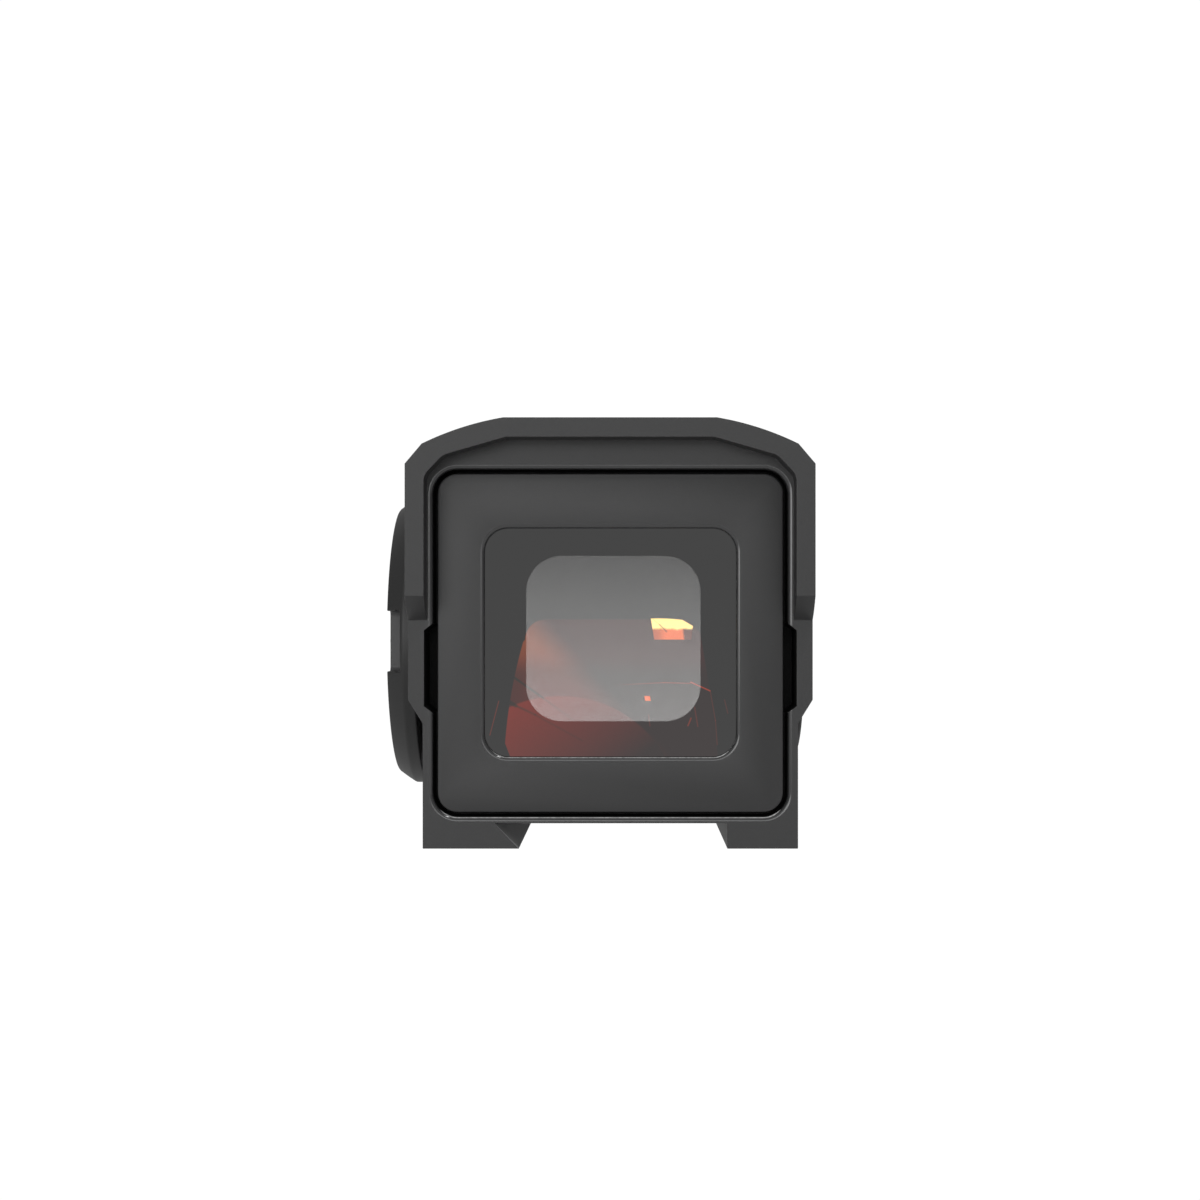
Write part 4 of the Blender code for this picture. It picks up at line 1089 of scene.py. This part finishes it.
lens = dished(
    rounded(*LENS_EDGE, steps=8), bowed(HOLLOW_Y, HOLLOW_SAG), bowed(CROWN_Y, CROWN_SAG)
)
complete(lens, "objective_lens_glass", "body", M["lens"], "objective_lens")
film = dished(
    rounded(*FILM_EDGE, steps=8),
    bowed(HOLLOW_Y - 0.09, HOLLOW_SAG),
    bowed(HOLLOW_Y - 0.05, HOLLOW_SAG),
)
complete(film, "lens_coating_film", "body", M["coating"])


# ================================================================ brightness dial
def on_dial(x, radius, degrees):
    """A place round the dial's axis, at an angle from the top toward -Y."""
    angle = math.radians(degrees)
    return (x, AXIS_Y - radius * math.sin(angle), AXIS_Z + radius * math.cos(angle))


# (radius, height)
DIAL = [
    (10.9, 23.95), (11.0, 24.08), (11.05, 24.11), (14.85, 24.11), (15.0, 24.08), (15.12, 23.98),
    (15.72, 23.15), (16.2, 22.42), (16.28, 22.26), (16.29, 22.1), (16.29, 21.12), (16.2, 21.0),
    (10.1, 21.0), (10.1, 22.0), (10.9, 22.0),
]
BALL_TRACK = [(11.15, 21.75), (12.95, 21.75), (12.95, 20.5), (11.15, 20.5)]
NOTCHES = 3


def dial_notch(index):
    """Cutter for a finger notch with two rounded corners."""
    points = eased(rectangle(-3.25, 3.25, -19.5, -11.7), [0, 0, 0.55, 0.55], steps=5)
    tool = prism([(y, z) for z, y in points], "X", -25.5, -22.6)
    tool.data.transform(Matrix.Rotation(2 * math.pi * index / NOTCHES, 4, "X"))
    tool.data.transform(Matrix.Translation(Vector(CENTRE)))
    return tool


# Faces of the notches that wear the painted light
def notch_wall(at, normal):
    radius = math.hypot(at.y - AXIS_Y, at.z - AXIS_Z)
    return -24.0 < at.x < -22.5 and abs(normal.x) < 0.3 and 11.4 < radius < 15.9


pits = [
    rod("-X", on_dial(0, DETENT_RADIUS, CLICK_ANGLE * i + 0.9), 21.6, 22.0, radius=0.6, steps=16)
    for i in range(CLICKS)
]
wiper_seat = box(-21.65, -20.5, 12.95, 14.1, *span(AXIS_Z, 1.3))
dial = turned(DIAL, CENTRE, "-X", 180, ring=True)
carve(
    dial,
    (CUT, turned(BALL_TRACK, CENTRE, "-X", 176, ring=True, phase=0.01)),
    (CUT, group(*(dial_notch(i) for i in range(NOTCHES)))),
    (CUT, group(*pits, wiper_seat)),
)
complete(
    dial, "brightness_dial_ring", "dial", M["dial"], "brightness_dial",
    edge=0.09, angle=35, extra=((M["notch"], notch_wall),),
)


def dial_number(index):
    """Matrix that lays a character on the dial face, which looks along -X."""
    glyph = Matrix(((0, 0, -1, 0), (-1, 0, 0, 0), (0, 1, 0, 0), (0, 0, 0, 1)))
    spin = Matrix.Rotation(math.radians(CLICK_ANGLE * index), 4, "X")
    home = Matrix.Translation((DIAL_MARK_X, AXIS_Y, AXIS_Z))
    return home @ spin @ Matrix.Translation((0, 0, 13.1)) @ glyph


def lettering(items, size):
    """Thin filled characters. items are (text, matrix in mm)."""
    bm = bmesh.new()
    for text, matrix in items:
        font = bpy.data.curves.new("blank", "FONT")
        font.body = text
        font.size = size
        font.align_x, font.align_y = "CENTER", "CENTER"
        font.extrude = MARK_HEIGHT / 2
        font.resolution_u = 4
        obj = bpy.data.objects.new("blank", font)
        scene.collection.objects.link(obj)
        bpy.context.view_layer.update()
        graph = bpy.context.evaluated_depsgraph_get()
        mesh = bpy.data.meshes.new_from_object(obj.evaluated_get(graph))
        mesh.transform(matrix)
        bm.from_mesh(mesh)
        bpy.data.objects.remove(obj, do_unlink=True)
    bmesh.ops.remove_doubles(bm, verts=bm.verts, dist=1e-5)
    return keep(bm)


# Every fourth place has a dot in place of its number
numbers = [(str(i), dial_number(i)) for i in range(CLICKS) if i % 4 != 3]
complete(lettering(numbers, size=2.5), "dial_numbers", "dial", M["paint"])
dots = group(
    *(
        rod(
            "-X", on_dial(DIAL_MARK_X, 11.35, CLICK_ANGLE * i), -MARK_HEIGHT / 2, MARK_HEIGHT / 2,
            radius=0.22, steps=24,
        )
        for i in range(3, CLICKS, 4)
    )
)
complete(dots, "dial_dots", "dial", M["paint"])
index_fill = box(-20.5, -20.43, *span(AXIS_Y, 0.16), 35.09, 36.11)
complete(index_fill, "dial_index_fill", "body", M["paint"])

# ================================================================ battery cap
# (radius, height)
CAP = [
    (0, 24.05), (8.55, 24.05), (8.65, 23.98), (8.75, 23.93), (9.0, 23.93), (9.1, 23.98),
    (9.2, 24.05), (10.3, 24.05), (10.45, 24.02), (10.56, 23.92), (10.6, 23.8), (10.6, 23.42),
    (10.55, 23.35), (8.5, 23.35), (8.5, 21.7), (8.4, 21.6), (7.7, 21.6), (7.6, 21.7),
    (7.6, 23.0), (0, 23.0),
]
cap = turned(CAP, CENTRE, "-X", 160, wave=knurl(40, depth=0.07, beyond=10.5, power=2))
coin_slot = eased(rectangle(*span(AXIS_Y, 0.9), *span(AXIS_Z, 7.5)), [0.88] * 4, steps=8)
carve(cap, (CUT, prism(coin_slot, "X", -24.6, -23.4)))
complete(
    cap, "battery_cap_turned", "cap", M["cap"], "battery_cap",
    edge=0.07, angle=40,
)


# ================================================================ adjusters
SLOT_HALF_LENGTH, SLOT_HALF_WIDTH = 4.0, 0.5


def adjuster(name, home, facing, top, under, tip, slot_middle, slot_levels):
    """A serrated head on a plain shank, with a slot. Heights run the way the screw faces."""
    profile = [
        (0, top - 0.12), (2.6, top - 0.12), (2.75, top), (4.55, top), (4.72, top - 0.08),
        (4.8, top - 0.3), (4.8, under + 0.1), (4.65, under), (1.6, under), (1.6, tip + 0.4),
        (1.2, tip), (0, tip),
    ]
    screw = turned(profile, home, facing, 144, wave=knurl(36, depth=0.12, beyond=4.7))
    across, up = slot_middle
    outline = rectangle(*span(across, SLOT_HALF_LENGTH), *span(up, SLOT_HALF_WIDTH))
    slot = prism(eased(outline, [0.45] * 4, steps=5), facing[1], *slot_levels)
    carve(screw, (CUT, slot))
    complete(
        screw, f"{name}_adjuster_screw", f"{name}_adjuster", M["adjuster"],
        f"{name}_screw", edge=0.05, angle=45,
    )


adjuster(
    "elevation", TOP_HOME, "+Z", top=40.75, under=39.4, tip=33.95,
    slot_middle=(0, AXIS_Y), slot_levels=(40.0, 41.5),
)
adjuster(
    "windage", CENTRE, "+X", top=20.8, under=19.7, tip=16.3,
    slot_middle=(AXIS_Y, AXIS_Z), slot_levels=(20.1, 21.5),
)


def ticks(home, facing, level, radius=5.95, count=21, arc=200):
    """Short radial marks round an adjuster, with a longer one at each fifth."""
    side, up, out = face_axes(facing)
    home = Vector(home)
    bm = bmesh.new()
    for i in range(count):
        angle = math.radians(90 - arc / 2 + arc * i / (count - 1))
        spoke = side * math.cos(angle) + up * math.sin(angle)
        across = up * math.cos(angle) - side * math.sin(angle)
        length = 1.25 if i % 5 == 0 else 0.75
        corners = [
            bm.verts.new(home + spoke * (radius + reach) + across * offset + out * height)
            for height in span(level, MARK_HEIGHT / 2)
            for reach, offset in ((0, -0.07), (length, -0.07), (length, 0.07), (0, 0.07))
        ]
        for face in (
            (0, 1, 2, 3), (4, 5, 6, 7), (0, 1, 5, 4), (1, 2, 6, 5), (2, 3, 7, 6), (3, 0, 4, 7),
        ):
            bm.faces.new([corners[k] for k in face])
    return solid(bm)


def arrow(home, facing, level, radius=6.6, start=215, end=265, width=0.22, steps=20):
    """A curved arrow round an adjuster, from the start angle to the end angle in degrees."""
    side, up, out = face_axes(facing)
    home = Vector(home)
    bm = bmesh.new()

    def slab(points):
        low, high = (
            [bm.verts.new(point + out * height) for point in points]
            for height in span(level, MARK_HEIGHT / 2)
        )
        bm.faces.new(low)
        bm.faces.new(list(reversed(high)))
        bridge(bm, low, high)

    outer, inner = [], []
    for i in range(steps + 1):
        angle = math.radians(start + (end - start) * i / steps)
        spoke = side * math.cos(angle) + up * math.sin(angle)
        outer.append(home + spoke * (radius + width / 2))
        inner.append(home + spoke * (radius - width / 2))
    slab(outer + list(reversed(inner)))

    # Head
    angle = math.radians(end)
    spoke = side * math.cos(angle) + up * math.sin(angle)
    along = up * math.cos(angle) - side * math.sin(angle)
    neck = home + spoke * radius
    slab([neck + spoke * 0.45 + along * 0.02, neck + along * 0.9, neck - spoke * 0.45 + along * 0.02])
    return solid(bm)


for name, home, facing, level in (
    ("elevation", TOP_HOME, "+Z", TOP_Z), ("windage", CENTRE, "+X", SIDE_FACE),
):
    for mark, draw in (("scale", ticks), ("arrow", arrow)):
        made = draw(home, facing, level)
        complete(made, f"{name}_{mark}", "body", M["paint"])

# ================================================================ clamp
# Jaw outline as (x, z), then (radius, height) profiles along the bolt
JAW = [(11.88, FOOT_Z), (18.9, FOOT_Z), (18.9, 1.8), (18.5, 2.2), (14.38, 2.2), (14.38, 0.0)]
BOLT_SEAT = [
    (0, 19.6), (2.25, 19.6), (2.05, 18.8), (2.05, 17.3), (1.45, 17.3), (1.45, 15.9),
    (1.95, 15.9), (1.95, 10.0), (0, 10.0),
]
BOLT = [
    (0, 18.9), (1.5, 18.9), (1.7, 18.84), (1.82, 18.72), (1.85, 18.6), (1.85, 17.52),
    (1.78, 17.45), (1.25, 17.45), (1.25, -11.6), (0.95, -11.9), (0, -11.9),
]
HEX_SOCKET = [(0, 19.6), (1.25, 19.6), (1.0, 18.85), (1.0, 17.9), (0, 17.7)]

jaw = prism(JAW, "Y", *span(BOLT_Y, 7.0))
carve(jaw, (CUT, turned(BOLT_SEAT, BOLT_HOME, "+X", 64)))
complete(
    jaw, "clamp_jaw_block", "jaw", M["jaw"], "clamp_jaw", edge=0.12, angle=20
)
bolt = turned(BOLT, BOLT_HOME, "+X", 96, wave=knurl(24, depth=0.05, beyond=1.8))
carve(bolt, (CUT, turned(HEX_SOCKET, BOLT_HOME, "+X", 6, phase=0.2)))
complete(
    bolt, "clamp_bolt_socket_head", "bolt", M["bolt"], "clamp_bolt",
    edge=0.04, angle=45,
)

# ================================================================ carried-over nodes
# Pieces of the frame kept as they are, with the key of the finish each wears
CARRIED = {
    "rear_seal": "rubber", "front_seal": "rubber", "dial_oring": "rubber",
    "battery_cap_oring": "rubber", "elevation_oring": "rubber", "windage_oring": "rubber",
    "battery_sleeve": "plastic", "emitter_holder": "plastic", "controller_chip": "epoxy",
    "detent_spring": "spring", "cap_contact_spring": "spring",
    "elevation_return_spring": "spring", "windage_return_spring": "spring",
    "jaw_spring": "spring", "dial_retaining_ring": "spring", "battery": "bright",
    "detent_ball": "bright", "board_screw_lower": "bright", "board_screw_upper": "bright",
    "lug_screw": "bright", "emitter_carriage": "carriage", "elevation_shoe": "brass",
    "dial_wiper": "bronze", "negative_contact": "gold", "battery_lead": "lead",
    "led_flex_cable": "flex", "circuit_board": "board", "switch_ring": "ring",
    "led_emitter": "led", "recoil_lug": "lug",
}
# Width of the broken edges, in mm
EASED = {"recoil_lug": 0.15, "emitter_carriage": 0.1, "circuit_board": 0.06, "battery": 0.06}
for name, key in CARRIED.items():
    node = NODES[name]
    node.data.materials.clear()
    node.data.materials.append(M[key])
    weld = node.modifiers.new("weld", "WELD")
    weld.merge_threshold = 1e-7
    flat = node.modifiers.new("flat", "DECIMATE")
    flat.decimate_type = "DISSOLVE"
    flat.angle_limit = math.radians(0.5)
    if name in EASED:
        ease = node.modifiers.new("ease", "BEVEL")
        ease.width = EASED[name] * MM
        ease.segments = 2
        ease.limit_method = "ANGLE"
        ease.angle_limit = math.radians(35)

# ================================================================ floor and world
BACKDROP = 1.03  # what the camera sees of the floor and the world
FLOOR_GLOW = 0.52  # what the floor gives to everything else


def floor_material():
    """White to the camera, with a painted contact shadow from an occlusion test when seen from above.
    """
    mat, tree, out = fresh("studio_floor")
    seen = Value(tree, add_node(tree, "LightPath").outputs["Is Camera Ray"])
    hidden = add_node(tree, "AmbientOcclusion", {"Distance": 0.02}, samples=12)
    _, _, toward_z = split_xyz(tree, add_node(tree, "NewGeometry").outputs["Incoming"])
    from_above = toward_z.ramp(zero_at=0.14, one_at=0.3)
    # Painted contact shadow: the occlusion test darkens the floor's glow near the object
    contact = (1.0 - Value(tree, hidden.outputs["AO"])) * from_above * 0.4
    level = (BACKDROP - contact) * seen + (1.0 - seen) * FLOOR_GLOW
    bright = add_node(tree, "Emission", {"Strength": level})
    feed(tree, out.inputs[0], bright.outputs[0])
    return mat


def studio_world():
    """A plain backdrop to the camera, and a shaped light to everything else."""
    world = bpy.data.worlds.new("studio")
    scene.world = world
    world.use_nodes = True
    tree = world.node_tree
    tree.nodes.clear()
    out = add_node(tree, "OutputWorld")
    x, y, z = split_xyz(tree, add_node(tree, "TexCoord").outputs["Generated"])
    camera_ray = Value(tree, add_node(tree, "LightPath").outputs["Is Camera Ray"])
    # Each light is a direction, with a power that sets how tight it is
    eye_end = (x * -0.09 - y * 0.995 - z * 0.04).most(0.0) ** 13.0
    target_end = (x * 0.48 + y * 0.85 + z * 0.22).most(0.0) ** 3.0
    up = z.most(0.0)
    # Even light, then the strength of each light
    light = 0.2 + eye_end * 3.25 + target_end * 0.34 + up * up * 0.3
    strength = camera_ray * BACKDROP + (1.0 - camera_ray) * light
    back = add_node(tree, "Background", {"Strength": strength, "Color": (1, 1, 1, 1)})
    feed(tree, out.inputs[0], back.outputs[0])


bm = bmesh.new()
bmesh.ops.create_grid(bm, x_segments=8, y_segments=8, size=6.0)
bmesh.ops.translate(bm, vec=(0, 0, (FOOT_Z - 0.01) * MM), verts=bm.verts)
floor = keep(bm, "studio_floor")
floor.data.materials.append(floor_material())
studio_world()


# ================================================================ lights and camera
def softbox(name, at, target, width, height, power):
    """A rectangular lamp, placed in metres and watts."""
    lamp = bpy.data.lights.new(name, "AREA")
    lamp.shape = "RECTANGLE"
    lamp.size, lamp.size_y = width, height
    lamp.energy = power
    obj = bpy.data.objects.new(name, lamp)
    scene.collection.objects.link(obj)
    obj.location = at
    obj.visible_camera = False
    obj.rotation_mode = "QUATERNION"
    obj.rotation_quaternion = (Vector(target) - Vector(at)).to_track_quat("-Z", "Y")


softbox(
    "key_front_left", at=(-0.26, -0.46, 0.09), target=(0, -0.02, 0.018),
    width=0.3, height=0.3, power=0.55,
)
softbox(
    "strip_overhead", at=(0.13, -0.02, 0.42), target=(0, -0.02, 0.02),
    width=0.55, height=0.06, power=1.1,
)

# The camera looks level along +Y from the eye end
view = bpy.data.cameras.new("camera")
view.sensor_width = 36.0
view.lens = 57.3
view.shift_x, view.shift_y = -0.02208, 0.01958
view.clip_start, view.clip_end = 0.005, 50.0
camera = bpy.data.objects.new("camera", view)
scene.collection.objects.link(camera)
camera.location = (1.64 * MM, -217.0 * MM, 20.3 * MM)
camera.rotation_euler = (math.pi / 2, 0, 0)
scene.camera = camera
scene.view_settings.view_transform = "Standard"
scene.view_settings.look = "None"
